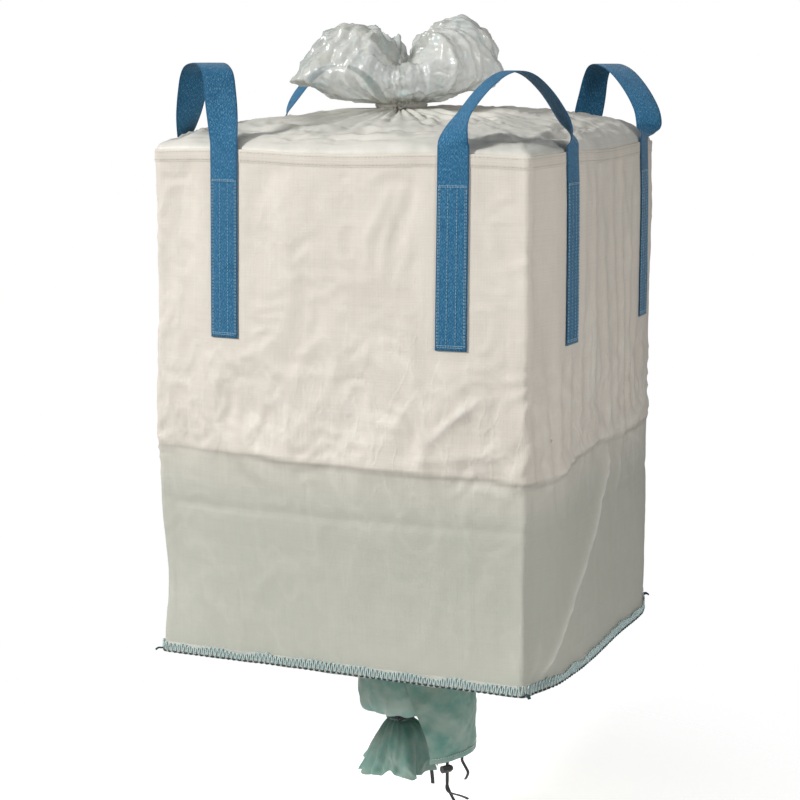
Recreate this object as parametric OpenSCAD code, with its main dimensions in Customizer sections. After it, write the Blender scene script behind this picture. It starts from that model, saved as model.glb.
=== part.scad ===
// Bulk bag with four corner loops, a tied fill neck and a bottom discharge spout.
// It hangs in use: the origin is the lift point, on the bag's axis at the underside of the loop crowns.

/* [Body] */
// Width of each side, corner to corner
side_w = 900; // [860:10:940]
// Height of the body, base seam to rim
body_h = 1160; // [1000:10:1300]
// Radius of the soft upright corners
corner_r = 45; // [35:5:55]
// How far the middle of each side bulges
bulge = 30; // [10:1:32]
// Thickness of the woven walls
wall_t = 1.5; // [1:0.1:2]

/* [Lifting loops] */
// Width of the loop webbing
web_w = 70; // [60:1:75]
// Thickness of the loop webbing
web_t = 2.5; // [2:0.1:3]
// Distance from the middle of a side to the middle of a leg
leg_u = 270; // [255:5:275]
// Height of the crowns above the rim
loop_h = 180; // [160:5:200]
// Length of each leg sewn below the rim
leg_len = 415; // [350:5:450]
// Angle through which a loop folds inward
fold_in = 25; // [15:1:28]

/* [Fill neck] */
// Outer radius of the gathered neck
neck_r = 80; // [75:1:82]
// Height of the neck's tie above the rim
neck_rise = 88; // [80:1:90]
// Sideways offset of the neck and the tuft
neck_x = -35; // [-40:1:-30]

/* [Discharge spout] */
// Outer radius of the spout
spout_r = 140; // [135:1:142]
// Thickness of the spout and its cover
spout_t = 1.2; // [1:0.1:1.4]
// Depth of the tie below the base
tie_drop = 245; // [243:1:247]
// Sideways offset of the tied neck
tie_x = -45; // [-46:1:-44]
// Depth of the cover's hem below the base
cover_drop = 320; // [316:1:320]

/* [Hidden] */

cloth_colour = [0.85, 0.82, 0.76];
film_colour = [0.9, 0.89, 0.86];
web_colour = [0.18, 0.42, 0.62];
spout_colour = [0.37, 0.5, 0.45];
tape_colour = [0.12, 0.13, 0.14];

rim_z = -loop_h;
base_z = rim_z - body_h;
half = side_w / 2;
flat_half = half - corner_r;        // where a side meets its corners
side_steps = 12;
corner_steps = 5;
web_gap = 0.2;                      // air between the legs and the wall
stitch_gap = 0.15;                  // and between the legs and their stitching
hem_h = 30;
hem_t = 1.2;
lip_h = 10;                         // the sewn lip round the base
lip_t = 2.5;
skirt_t = 2;
neck_z = rim_z + neck_rise;
neck_h = 18;                        // the short upright stretch that the tie grips
tie_t = 3;
liner_gap = 4;                      // air between the wall and the liner
liner_t = 0.8;
hinge_z = rim_z + 13;               // the loops fold here, just above the rim
leg_top = 10;                       // the sewn legs stand this far above the rim
arch_steps = 20;
flange_w = 25;
spout_sides = 60;
cover_r = 150;
cover_from = -40;                   // the cover hangs on the +X side only
cover_sweep = 120;
cover_hem_h = 15;
cover_hem_t = 5;
tail_t = 1.2;                       // thickness of the tie tapes
tape_w = 8;
lock_turn = -35;                    // the cord lock's place round the spout
lock_z = base_z - 337;
lock_r = 9;
plunger_r = 6.2;
lock_bore_r = 6.5;
lock_slot = [4, 10];                // the tapes' way through: across, along the barrel
press_travel = 4;
spring_wire_r = 0.5;
spring_r = 4.5;
spring_turns = 2.5;

// Hand-set routes of the tapes, depths below the base as negative z
side_route = [[144, -42, -320], [144, -42, -328], [152, -43, -341], [160, -44, -354],
    [158, -45, -365], [153, -45, -374]];
long_route = [[122, -85.5, -320], [122, -85.5, -346], [122, -85.5, -374], [127, -87, -389], [138, -90, -406],
    [152, -92, -426], [166, -94, -440], [182, -95, -450], [196, -95, -450], [206, -94, -442],
    [209, -93, -430]];
short_route = [[123.5, -87, -320], [123.5, -87, -346], [123.5, -87, -369], [125, -95, -382], [133, -102, -389],
    [146, -104, -391], [160, -105, -392], [174, -106, -394], [186, -107, -397]];
tail_route = [[-45, 36, -274], [-40, 52, -292], [-30, 70, -314], [-18, 85, -340], [-6, 95, -370],
    [2, 100, -400], [6, 102, -430], [8, 103, -457]];

// Rings of the fill tuft: height above the tie, half-width, half-depth, sideways offset
tuft_rings = [[17, 20, 20, 0], [40, 80, 70, -2], [67, 225, 120, -10], [112, 252, 140, -12],
    [157, 215, 115, -10], [187, 150, 80, -5], [198, 70, 40, 0]];
// Rings of the gathered spout, top down: depth below the base, radius, sideways offset
gather_rings = [[-wall_t, spout_r, 0], [150, spout_r, 0], [205, 124, 0], [228, 90, -20], [238, 34, -45], [252, 34, -45]];
// Rings of the tied-off end, top down: depth below the tie, radius, sideways offset
end_rings = [[12, 5, 0], [26, 28, 0], [55, 52, 2], [115, 72, 6], [160, 87, 9]];

function mix(a, b, f) = a + (b - a) * f;
function flat_list(lists) = [for (l = lists) for (p = l) p];
function unit(v) = v / norm(v);
function quarter(p, k) = k == 0 ? p : quarter([-p.y, p.x], k - 1);
// A point on the front side, u along it and off outside the wall
function side_pt(u, off) = [u, -(half + off + bulge * (1 - pow(abs(u) / flat_half, 3)))];
function corner_pt(a, off) = [flat_half + (corner_r + off) * sin(a), -flat_half - (corner_r + off) * cos(a)];
function outline(off) = [for (k = [0:3]) each concat(
    [for (i = [0:side_steps - 1]) quarter(side_pt(mix(-flat_half, flat_half, i / side_steps), off), k)],
    [for (i = [0:corner_steps - 1]) quarter(corner_pt(90 * i / corner_steps, off), k)])];
function at_height(ring, z) = [for (p = ring) [p.x, p.y, z]];
function circle_ring(r, n, x, z) = [for (i = [0:n - 1]) [x + r * cos(360 * i / n), r * sin(360 * i / n), z]];
// The body's outline drawn in towards the neck by the share f
function gathered(off, r, f) = [for (p = outline(off))
    mix(p, [neck_x, 0] + r * [cos(atan2(p.y, p.x)), sin(atan2(p.y, p.x))], f)];

// A closed solid through rings of equal length, each counter-clockwise seen from above, lowest first
module loft(rings) {
    n = len(rings[0]);
    last = (len(rings) - 1) * n;
    sides = [for (r = [0:len(rings) - 2]) for (i = [0:n - 1])
        let (a = r * n + i, b = r * n + (i + 1) % n) each [[a, a + n, b + n], [a, b + n, b]]];
    polyhedron(flat_list(rings), concat(
        [[for (i = [0:n - 1]) i]], sides, [[for (i = [0:n - 1]) last + n - 1 - i]]), convexity = 6);
}

module band(outer, inner, z, h) {
    translate([0, 0, z]) linear_extrude(h) difference() {
        polygon(outline(outer));
        polygon(outline(inner));
    }
}

// A flat strip of webbing on the front side, following the wall
module strip(u_from, u_to, z_from, z_to, t, off) {
    steps = 4;
    us = [for (i = [0:steps]) mix(u_from, u_to, i / steps)];
    translate([0, 0, z_from]) linear_extrude(z_to - z_from)
        polygon(concat([for (u = us) side_pt(u, off)],
            [for (i = [0:steps]) side_pt(us[steps - i], off + t)]));
}

module both_legs() {
    children();
    mirror([1, 1, 0]) children();
}

module body_tube() {
    color(cloth_colour) band(0, -wall_t, base_z, body_h);
}

module top_hem() {
    color(cloth_colour) band(-wall_t, -wall_t - hem_t, rim_z - hem_h, hem_h);
}

module base_panel() {
    color(cloth_colour) translate([0, 0, base_z]) linear_extrude(wall_t) difference() {
        polygon(outline(-wall_t));
        circle(spout_r, $fn = 96);
    }
}

module base_seam() {
    color([0.62, 0.74, 0.72]) band(lip_t, 0, base_z, lip_h);
}

module seam_tails() {
    reach = norm(corner_pt(45, lip_t)) + 0.3;
    color(tape_colour) for (k = [0:3]) rotate(90 * k - 45)
        translate([reach, -3, base_z + 1]) cube([18, 6, 3]);
}

// The skirt's form: it rises steeply from the rim, then runs in to the neck
module neck_form(off, r, top, drop, start) {
    loft(concat([at_height(outline(off), start)],
        [for (f = [0, 0.15, 0.4, 0.7]) at_height(gathered(off, r, f),
            mix(rim_z + 2, top - neck_h, pow(f, 0.6)) - drop)],
        [for (z = [top - neck_h - drop, top + (drop > 0 ? 1 : 0)]) at_height(gathered(off, r, 1), z)]));
}

module neck_shell(off, r, top, t, start) {
    difference() {
        neck_form(off, r, top, 0, start);
        neck_form(off - t * 1.4, r - t, top, t, start - 1);
    }
}

module top_skirt() {
    color(film_colour) neck_shell(0, neck_r, neck_z + neck_h / 2, skirt_t, rim_z);
}

module liner() {
    color([0.92, 0.92, 0.9]) {
        translate([0, 0, -skirt_t - 3])
            neck_shell(-liner_gap, neck_r - skirt_t - 1, neck_z + neck_h / 2, liner_t, base_z + 12 + liner_t);
        translate([0, 0, base_z + 7]) linear_extrude(liner_t) difference() {
            polygon(outline(-liner_gap));
            circle(spout_r - 6, $fn = 96);
        }
        translate([0, 0, base_z - 145]) difference() {
            cylinder(h = 152 + liner_t, r = spout_r - 5, $fn = 96);
            translate([0, 0, -1]) cylinder(h = 160, r = spout_r - 5 - liner_t, $fn = 96);
        }
    }
}

module neck_tie() {
    color(tape_colour) translate([neck_x, 0, neck_z]) difference() {
        cylinder(h = 10, r = neck_r + tie_t, center = true, $fn = 96);
        cylinder(h = 12, r = neck_r, center = true, $fn = 96);
    }
}

module loop_legs(k) {
    color(web_colour) rotate(90 * k) both_legs()
        strip(leg_u - web_w / 2, leg_u + web_w / 2, rim_z - leg_len, rim_z + leg_top, web_t, web_gap);
}

module loop_stitching() {
    color([0.8, 0.84, 0.86]) for (k = [0:3]) rotate(90 * k) both_legs() {
        for (drop = [68, leg_len - 6])
            strip(leg_u - web_w / 2 + 4, leg_u + web_w / 2 - 4, rim_z - drop, rim_z - drop + 3, 0.6,
                web_gap + web_t + stitch_gap);
    }
}

// The loop's frame: along the chord between its legs, and outward over the corner
chord = unit([1, 1]);
outward = unit([1, -1]);
foot_in = side_pt(leg_u - web_w / 2, web_gap + web_t / 2);
foot_out = side_pt(leg_u + web_w / 2, web_gap + web_t / 2);
foot_mid = (foot_in + foot_out) / 2;
fold_axis = side_pt(leg_u + web_w / 2, web_gap + web_t) * outward;
arch_span = -foot_mid * chord;
arch_out = foot_mid * outward;
crown_h = web_t / 2 - hinge_z;
function flatter(x) = sign(x) * pow(abs(x), 0.8);
function arch_pt(i) = let (a = 180 * i / arch_steps)
    [-arch_span * flatter(cos(a)), arch_out, crown_h * flatter(sin(a))];
function from_end(i) = min(i, arch_steps - i);
function arch_way(i) = from_end(i) > 1 ? unit(arch_pt(i + 1) - arch_pt(i - 1))
    : i > 1 ? unit(arch_pt(arch_steps) - arch_pt(arch_steps - 1)) : unit(arch_pt(1) - arch_pt(0));
// The webbing turns from flat on the wall at its feet to level at the crown
function arch_width(i) =
    let (foot = unit(foot_out - foot_in), side = i > arch_steps / 2 ? -1 : 1,
        share = pow(sin(90 * max(0, from_end(i) - 1) / (arch_steps / 2 - 1)), 2),
        w = unit(mix([side * foot * chord, foot * outward, 0], [0, 1, 0], share)),
        way = arch_way(i))
    unit(w - (w * way) * way);
function in_plan(p) = concat(p.x * chord + p.y * outward, [p.z + hinge_z]);
function arch_section(i) =
    let (w = arch_width(i) * web_w / 2, n = cross(arch_way(i), arch_width(i)) * web_t / 2)
    [for (q = [w + n, w - n, -w - n, -w + n]) arch_pt(i) + q];
// The feet are cut on a slant, so that the loop folds inward clear of the sewn legs
function foot_section(i, next) =
    [for (j = [0:3]) let (p = arch_section(i)[j], q = arch_section(next)[j])
        mix(p, q, (max(0, fold_axis - p.y) * tan(fold_in) + 0.3 - p.z) / (q.z - p.z))];
function arch_ring(i) =
    [for (p = i == 0 ? foot_section(0, 1) : i == arch_steps ? foot_section(i, i - 1) : arch_section(i)) in_plan(p)];

module loop_arch(k) {
    color(web_colour) rotate(90 * k) loft([for (i = [0:arch_steps]) arch_ring(i)]);
}

module fill_tuft() {
    n = 32;
    function tuft(shrink, lift) = [for (g = tuft_rings)
        [for (i = [0:n - 1]) [neck_x + g[3] + (g[1] - shrink) * cos(360 * i / n),
            (g[2] - shrink) * sin(360 * i / n), neck_z + g[0] + lift]]];
    inner = tuft(2, 0);
    top = len(tuft_rings) - 1;
    color(film_colour) difference() {
        loft(tuft(0, 0));
        loft(concat([at_height(inner[0], neck_z + tuft_rings[0][0] - 1)],
            [for (i = [1:top - 1]) inner[i]], [at_height(inner[top], neck_z + tuft_rings[top][0] - 2)]));
    }
}

// The spout's form less shrink all round, reaching on by over at both ends
module spout_form(shrink, over) {
    last = len(gather_rings) - 1;
    loft([for (i = [last:-1:0]) let (g = gather_rings[i])
        circle_ring(g[1] - shrink, spout_sides, g[2], base_z - g[0] + (i == last ? -over : i == 0 ? over : 0))]);
}

module discharge_spout() {
    color(spout_colour) difference() {
        union() {
            spout_form(0, 0);
            translate([0, 0, base_z + wall_t]) linear_extrude(spout_t)
                polygon([for (i = [0:spout_sides - 1]) let (a = 360 * i / spout_sides)
                    (spout_r + flange_w) * [cos(a), sin(a)]]);
        }
        spout_form(spout_t, spout_t + 1);
    }
}

module cover_profile(t) {
    polygon([[spout_r + 0.3, -8], [spout_r + 0.3 + t, -8], [cover_r - 3 + t, -60], [cover_r + t, -160],
        [cover_r + t, cover_hem_h - cover_drop], [cover_r, cover_hem_h - cover_drop], [cover_r, -160],
        [cover_r - 3, -60]]);
}

module spout_cover() {
    color(spout_colour) translate([0, 0, base_z]) rotate(cover_from)
        rotate_extrude(angle = cover_sweep, $fn = 96) cover_profile(spout_t);
}

module cover_hem() {
    color(spout_colour) translate([0, 0, base_z - cover_drop]) rotate(cover_from)
        rotate_extrude(angle = cover_sweep, $fn = 96)
            translate([cover_r + (spout_t - cover_hem_t) / 2, 0]) square([cover_hem_t, cover_hem_h]);
}

module spout_tie() {
    tie_r = gather_rings[4][1];
    color(tape_colour) translate([tie_x, 0, base_z - tie_drop]) difference() {
        cylinder(h = 10, r = tie_r + tie_t, center = true, $fn = 64);
        cylinder(h = 12, r = tie_r + 0.1, center = true, $fn = 64);
    }
}

module discharge_tail() {
    last = len(end_rings) - 1;
    function tail(shrink) = [for (i = [last:-1:0]) let (g = end_rings[i])
        circle_ring(g[1] - shrink, 48, tie_x + g[2], base_z - tie_drop - g[0])];
    inner = tail(spout_t);
    color(spout_colour) difference() {
        loft(tail(0));
        loft(concat([[for (p = inner[0]) p - [0, 0, 1]]], [for (i = [1:last]) inner[i] - [for (p = inner[i])
            [0, 0, i == last ? 3 : 1]]]));
    }
}

// A flat tape along a route, its width turned towards the given plan angle
module tape(route, width, angle) {
    n = 8;
    facing = [cos(angle), sin(angle), 0];
    last = len(route) - 1;
    color(tape_colour) translate([0, 0, base_z]) loft([for (i = [last:-1:0])
        let (way = unit(route[max(i - 1, 0)] - route[min(i + 1, last)]),
            w = unit(facing - (facing * way) * way), t = cross(way, w))
        [for (j = [0:n - 1]) route[i] + w * width / 2 * cos(360 * j / n) + t * tail_t / 2 * sin(360 * j / n)]]);
}

module spout_tie_tail() {
    tape(tail_route, tape_w + 2, 0);
}

module cover_tape_side() {
    tape(side_route, tape_w, lock_turn + 90);
}

module cover_tape_long() {
    tape(long_route, tape_w, lock_turn + 90);
}

module cover_tape_short() {
    tape(short_route, tape_w, lock_turn + 90);
}

// The cord lock's frame: X away from the spout's axis, Y along the barrel, origin between the tapes
module at_lock() {
    translate([0, 0, lock_z]) rotate(lock_turn) translate([cover_r, 0, 0]) children();
}

module along_barrel(from, to, r) {
    translate([0, from, 0]) rotate([-90, 0, 0]) cylinder(h = to - from, r = r, $fn = 48);
}

module tape_slot(from, to) {
    translate([-lock_slot[0] / 2, from, -15]) cube([lock_slot[0], to - from, 30]);
}

slot_half = lock_slot[1] / 2;
plunger_in = -slot_half - 3;        // the plunger's inner end at rest
spring_from = plunger_in - 6;       // the closed end of the bore

module cord_lock_barrel() {
    color(tape_colour) at_lock() difference() {
        along_barrel(spring_from - 2, slot_half + 3, lock_r);
        along_barrel(spring_from, slot_half + 4, lock_bore_r);
        tape_slot(-slot_half, slot_half);
    }
}

module cord_lock_plunger() {
    color(tape_colour) at_lock() difference() {
        along_barrel(plunger_in, slot_half + 3 + press_travel + 1, plunger_r);
        tape_slot(-slot_half, slot_half + press_travel);
    }
}

module cord_lock_spring() {
    turn_steps = 14;
    sides = 6;
    last = ceil(spring_turns * turn_steps);
    rise = (plunger_in - spring_from - 2 * spring_wire_r) / last;
    function coil(i) = [spring_r * cos(360 * i / turn_steps), spring_from + spring_wire_r + rise * i,
        spring_r * sin(360 * i / turn_steps)];
    color([0.7, 0.7, 0.72]) at_lock() loft([for (i = [0:last])
        let (way = unit(coil(i + 1) - coil(i - 1)), out = unit([coil(i).x, 0, coil(i).z]), up = cross(way, out))
        [for (j = [0:sides - 1]) coil(i) + spring_wire_r * (out * cos(360 * j / sides) + up * sin(360 * j / sides))]]);
}

body_tube();
top_hem();
base_panel();
base_seam();
seam_tails();
top_skirt();
liner();
neck_tie();
loop_legs(0);  // loop_legs_front_right
loop_legs(1);  // loop_legs_back_right
loop_legs(2);  // loop_legs_back_left
loop_legs(3);  // loop_legs_front_left
loop_stitching();
loop_arch(0);  // loop_arch_front_right
loop_arch(1);  // loop_arch_back_right
loop_arch(2);  // loop_arch_back_left
loop_arch(3);  // loop_arch_front_left
fill_tuft();
discharge_spout();
spout_cover();
cover_hem();
spout_tie();
discharge_tail();
spout_tie_tail();
cover_tape_side();
cover_tape_long();
cover_tape_short();
cord_lock_barrel();
cord_lock_plunger();
cord_lock_spring();
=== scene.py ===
import math

import bpy
import numpy as np
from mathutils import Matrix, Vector


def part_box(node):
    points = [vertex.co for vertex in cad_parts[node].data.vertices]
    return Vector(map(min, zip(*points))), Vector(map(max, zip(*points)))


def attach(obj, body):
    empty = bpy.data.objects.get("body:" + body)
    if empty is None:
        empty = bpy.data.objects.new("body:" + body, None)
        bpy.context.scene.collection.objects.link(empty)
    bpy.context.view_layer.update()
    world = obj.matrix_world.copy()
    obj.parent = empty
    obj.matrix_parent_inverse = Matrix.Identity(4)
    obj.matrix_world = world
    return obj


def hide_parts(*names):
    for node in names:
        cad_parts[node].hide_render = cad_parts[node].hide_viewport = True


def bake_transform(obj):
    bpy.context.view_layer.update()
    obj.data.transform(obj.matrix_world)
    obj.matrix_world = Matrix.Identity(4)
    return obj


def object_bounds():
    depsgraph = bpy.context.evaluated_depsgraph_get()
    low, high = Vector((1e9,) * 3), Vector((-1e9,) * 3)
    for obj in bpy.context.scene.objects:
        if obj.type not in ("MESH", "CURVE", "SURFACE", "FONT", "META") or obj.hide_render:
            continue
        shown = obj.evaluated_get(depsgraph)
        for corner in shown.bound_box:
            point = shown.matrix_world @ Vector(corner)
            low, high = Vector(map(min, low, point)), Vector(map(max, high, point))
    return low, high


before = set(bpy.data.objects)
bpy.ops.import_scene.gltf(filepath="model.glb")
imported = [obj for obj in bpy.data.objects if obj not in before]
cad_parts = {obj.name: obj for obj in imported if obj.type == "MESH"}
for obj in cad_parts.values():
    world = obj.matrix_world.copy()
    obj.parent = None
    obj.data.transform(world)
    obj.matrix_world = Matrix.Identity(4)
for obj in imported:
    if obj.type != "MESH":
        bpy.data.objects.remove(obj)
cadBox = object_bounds()

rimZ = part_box("body_tube")[1].z
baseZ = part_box("body_tube")[0].z
neckSpot = (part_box("neck_tie")[0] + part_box("neck_tie")[1]) / 2
spoutTieSpot = (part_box("spout_tie")[0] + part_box("spout_tie")[1]) / 2
bodyHeight = rimZ - baseZ

cameraView = dict(
    target=(-0.0076, -0.0725, -0.783),
    distance=4.75,
    azimuth=23.15,
    pitch=9.76,
    lens=90,
)


def placeCamera():
    turn = math.radians(cameraView["azimuth"])
    rise = math.radians(cameraView["pitch"])
    back = Vector((math.sin(turn) * math.cos(rise), -math.cos(turn) * math.cos(rise), math.sin(rise)))
    data = bpy.data.cameras.new("camera")
    data.lens = cameraView["lens"]
    data.sensor_width = 36
    data.clip_end = 100
    camera = bpy.data.objects.new("camera", data)
    camera.location = Vector(cameraView["target"]) + back * cameraView["distance"]
    camera.rotation_euler = (-back).to_track_quat("-Z", "Y").to_euler()
    bpy.context.collection.objects.link(camera)
    bpy.context.scene.camera = camera


placeCamera()
print("camera placed")


def unit(vectors):
    return vectors / np.maximum(np.linalg.norm(vectors, axis=-1, keepdims=True), 1e-9)


def easeIn(values, start, end):
    share = np.clip((values - start) / (end - start), 0, 1)
    return share * share * (3 - 2 * share)


def stacked(*parts):
    # arrays side by side as the last axis
    return np.stack(np.broadcast_arrays(*parts), -1)


def roundSpots(radius, angle, height, middle=0.0):
    # places round an upright axis
    return stacked(middle + radius * np.cos(angle), radius * np.sin(angle), height)


def smoothLine(points, steps):
    # a rounded line through the points, with that many steps from each to the next
    points = np.asarray(points, float)
    padded = np.concatenate([2 * points[:1] - points[1:2], points, 2 * points[-1:] - points[-2:-1]])
    share = (np.arange(steps) / steps)[:, None]
    line = []
    for before, here, there, after in zip(padded, padded[1:], padded[2:], padded[3:]):
        line.append(0.5 * (
            2 * here + (there - before) * share
            + (2 * before - 5 * here + 4 * there - after) * share ** 2
            + (3 * here - before - 3 * there + after) * share ** 3))
    return np.concatenate(line + [points[-1:]])


def lineWays(line):
    return unit(np.gradient(line, axis=0))


def lineRun(line):
    # metres along a line from its start
    return np.concatenate([[0], np.cumsum(np.linalg.norm(np.diff(line, axis=0), axis=1))])


def ripple(points, size, seed, waves=10):
    # soft noise from crossing waves, about -1 to 1
    source = np.random.default_rng(seed)
    total = np.zeros(points.shape[:-1])
    for _ in range(waves):
        way = source.normal(size=3)
        way *= source.uniform(0.7, 1.5) * 2 * math.pi / size / np.linalg.norm(way)
        total += np.sin(points @ way + source.uniform(0, 2 * math.pi))
    return total / math.sqrt(waves)


def crumple(points, size, seed):
    # sharp-edged folds: the noise of a bent space, folded at its zero line
    bent = points + size * 0.35 * np.stack(
        [ripple(points, size * 1.7, seed + shift) for shift in (1, 2, 3)], -1)
    return 0.6 - np.minimum(np.abs(ripple(bent, size, seed)), 1.6)


def folds(angle, count, seed, spread=0.45):
    # uneven pleats round an axis, about -1 to 1
    source = np.random.default_rng(seed)
    total = np.zeros(np.shape(angle))
    for number in range(5):
        turns = max(2, round(count * (1 + spread * source.uniform(-1, 1))))
        total = total + np.sin(turns * angle + source.uniform(0, 2 * math.pi)) / (1 + 0.3 * number)
    return total / 2.2


def finishObject(name, mesh, finish, smooth=True):
    mesh.materials.append(finish.material)
    if smooth:
        mesh.shade_smooth()
    piece = bpy.data.objects.new(name, mesh)
    bpy.context.collection.objects.link(piece)
    return piece


def setMetres(mesh, pairs):
    layer = mesh.uv_layers.new(name="clothMetres")
    layer.data.foreach_set("uv", np.asarray(pairs, np.float32).ravel())


def ringFaces(rows, count):
    # the faces between rings of that many points, and the caps at the two ends
    row, column = np.mgrid[0:rows - 1, 0:count]
    after = (column + 1) % count
    faces = np.stack([row * count + column, row * count + after, (row + 1) * count + after,
                      (row + 1) * count + column], -1).reshape(-1, 4)
    return faces, [list(range(count))[::-1], [(rows - 1) * count + corner for corner in range(count)]]


def gridSheet(name, points, finish, metres, closed=False, marks=None, flip=False):
    # one sheet from rows and columns of points; metres is the flat cloth's place of each, for its weave
    rows, columns = points.shape[:2]
    across = columns if closed else columns - 1
    row, column = np.mgrid[0:rows - 1, 0:across]
    corners = [(row, column), (row, column + 1), (row + 1, column + 1), (row + 1, column)]
    if flip:
        corners.reverse()
    faces = np.stack([r * columns + c % columns for r, c in corners], -1).reshape(-1, 4)
    spots = np.stack([r * metres.shape[1] + c for r, c in corners], -1).reshape(-1)
    mesh = bpy.data.meshes.new(name)
    mesh.from_pydata(points.reshape(-1, 3).tolist(), [], faces.tolist())
    setMetres(mesh, metres.reshape(-1, 2)[spots])
    for mark, values in (marks or {}).items():
        layer = mesh.attributes.new(mark, "FLOAT", "POINT")
        layer.data.foreach_set("value", np.asarray(values, np.float32).ravel())
    return finishObject(name, mesh, finish)


def solidRings(name, rings, finish, metres):
    # a closed solid through rings of equal length, capped at both ends
    faces, caps = ringFaces(*rings.shape[:2])
    mesh = bpy.data.meshes.new(name)
    mesh.from_pydata(rings.reshape(-1, 3).tolist(), [], faces.tolist() + caps)
    used = np.concatenate([faces.ravel(), np.array(caps).ravel()])
    setMetres(mesh, metres.reshape(-1, 2)[used])
    return finishObject(name, mesh, finish)


# half of a strip's cross-section, from edge to edge, in halves of its width and thickness
stripEdge = [(-1, 0.25), (-0.95, 0.85), (-0.5, 1), (0, 1), (0.5, 1), (0.95, 0.85), (1, 0.25)]


def flatStrip(name, line, across, width, thickness, finish):
    # webbing or tape along a line, lying flat across it, with rounded edges
    ways = lineWays(line)
    across = np.broadcast_to(np.asarray(across, float), line.shape)
    across = unit(across - (across * ways).sum(-1, keepdims=True) * ways)
    thick = np.cross(ways, across)
    section = np.array(stripEdge + [(side, -rise) for side, rise in stripEdge[::-1]])
    rings = (line[:, None] + across[:, None] * (section[:, :1] * width / 2)
             + thick[:, None] * (section[:, 1:] * thickness / 2))
    metres = stacked(section[None, :, 0] * width / 2, lineRun(line)[:, None])
    return solidRings(name, rings[:, ::-1], finish, metres[:, ::-1])


def threadRing(middles, side, lifts, turn, radius):
    # a ring of points round each of the middles
    return middles[:, None] + radius * (side[:, None] * np.cos(turn)[None, :, None]
                                        + lifts[:, None] * np.sin(turn)[None, :, None])


def threadTube(name, line, lifts, radius, finish, sides):
    # a thread along a line, its top towards the lifts
    ways = lineWays(line)
    side = unit(np.cross(ways, lifts))
    turn = np.arange(sides) * 2 * math.pi / sides
    rings = threadRing(line, side, np.cross(side, ways), turn, radius)
    return solidRings(name, rings, finish, stacked((turn * radius)[None], lineRun(line)[:, None]))


# along a stitch: share of its length, thickness and how far it lifts, both in radii of the thread
stitchShape = [(0, 0.25, -0.7), (0.1, 0.9, 0), (0.5, 1, 0.45), (0.9, 0.9, 0), (1, 0.25, -0.7)]
stitchSides = 6


def stitchRow(name, starts, ends, lifts, radius, finish):
    # separate stitches as one mesh, each a thread that dips into the cloth at both ends
    side = unit(np.cross(unit(ends - starts), lifts))
    turn = np.arange(stitchSides) * 2 * math.pi / stitchSides
    points = np.stack([
        threadRing(starts + (ends - starts) * share + lifts * radius * rise, side, lifts, turn, radius * size)
        for share, size, rise in stitchShape], 1)
    count, rows = points.shape[:2]
    oneFaces, oneCaps = ringFaces(rows, stitchSides)
    step = (np.arange(count) * rows * stitchSides)[:, None, None]
    faces = (oneFaces[None] + step).reshape(-1, 4).tolist()
    caps = (np.array(oneCaps)[None] + step).reshape(-1, stitchSides).tolist()
    mesh = bpy.data.meshes.new(name)
    mesh.from_pydata(points.reshape(-1, 3).tolist(), [], faces + caps)
    # each stitch has its own 10 mm of yarn
    metres = stacked((turn * radius)[None, None], np.arange(count)[:, None, None] * 0.01
                     + np.linspace(0, 0.006, rows)[None, :, None]).reshape(-1, 2)
    used = np.concatenate([np.array(faces).ravel(), np.array(caps).ravel()])
    setMetres(mesh, metres[used])
    return finishObject(name, mesh, finish)


def paint(red, green, blue):
    # a colour as it is seen on a screen, 0 to 255
    share = [value / 255 for value in (red, green, blue)]
    linear = [value / 12.92 if value < 0.04 else ((value + 0.055) / 1.055) ** 2.4 for value in share]
    return (*linear, 1)


class Wire:
    # one output of a node, so that sums on it read as sums
    def __init__(self, finish, socket):
        self.finish = finish
        self.socket = socket

    def maths(self, operation, *values):
        return self.finish.node("Math", dict(operation=operation), dict(enumerate(values)))

    def __add__(self, other):
        return self.maths("ADD", self, other)

    def __sub__(self, other):
        return self.maths("SUBTRACT", self, other)

    def __rsub__(self, other):
        return self.maths("SUBTRACT", other, self)

    def __mul__(self, other):
        return self.maths("MULTIPLY", self, other)

    def __pow__(self, other):
        return self.maths("POWER", self, other)

    __radd__ = __add__
    __rmul__ = __mul__

    def sine(self):
        return self.maths("SINE", self)

    def size(self):
        return self.maths("ABSOLUTE", self)

    def above(self, level):
        return self.maths("GREATER_THAN", self, level)

    def within(self, low, high):
        return self.finish.node("MapRange", dict(interpolation_type="SMOOTHSTEP"),
                                {0: self, 1: low, 2: high, 3: 0.0, 4: 1.0})


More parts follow.
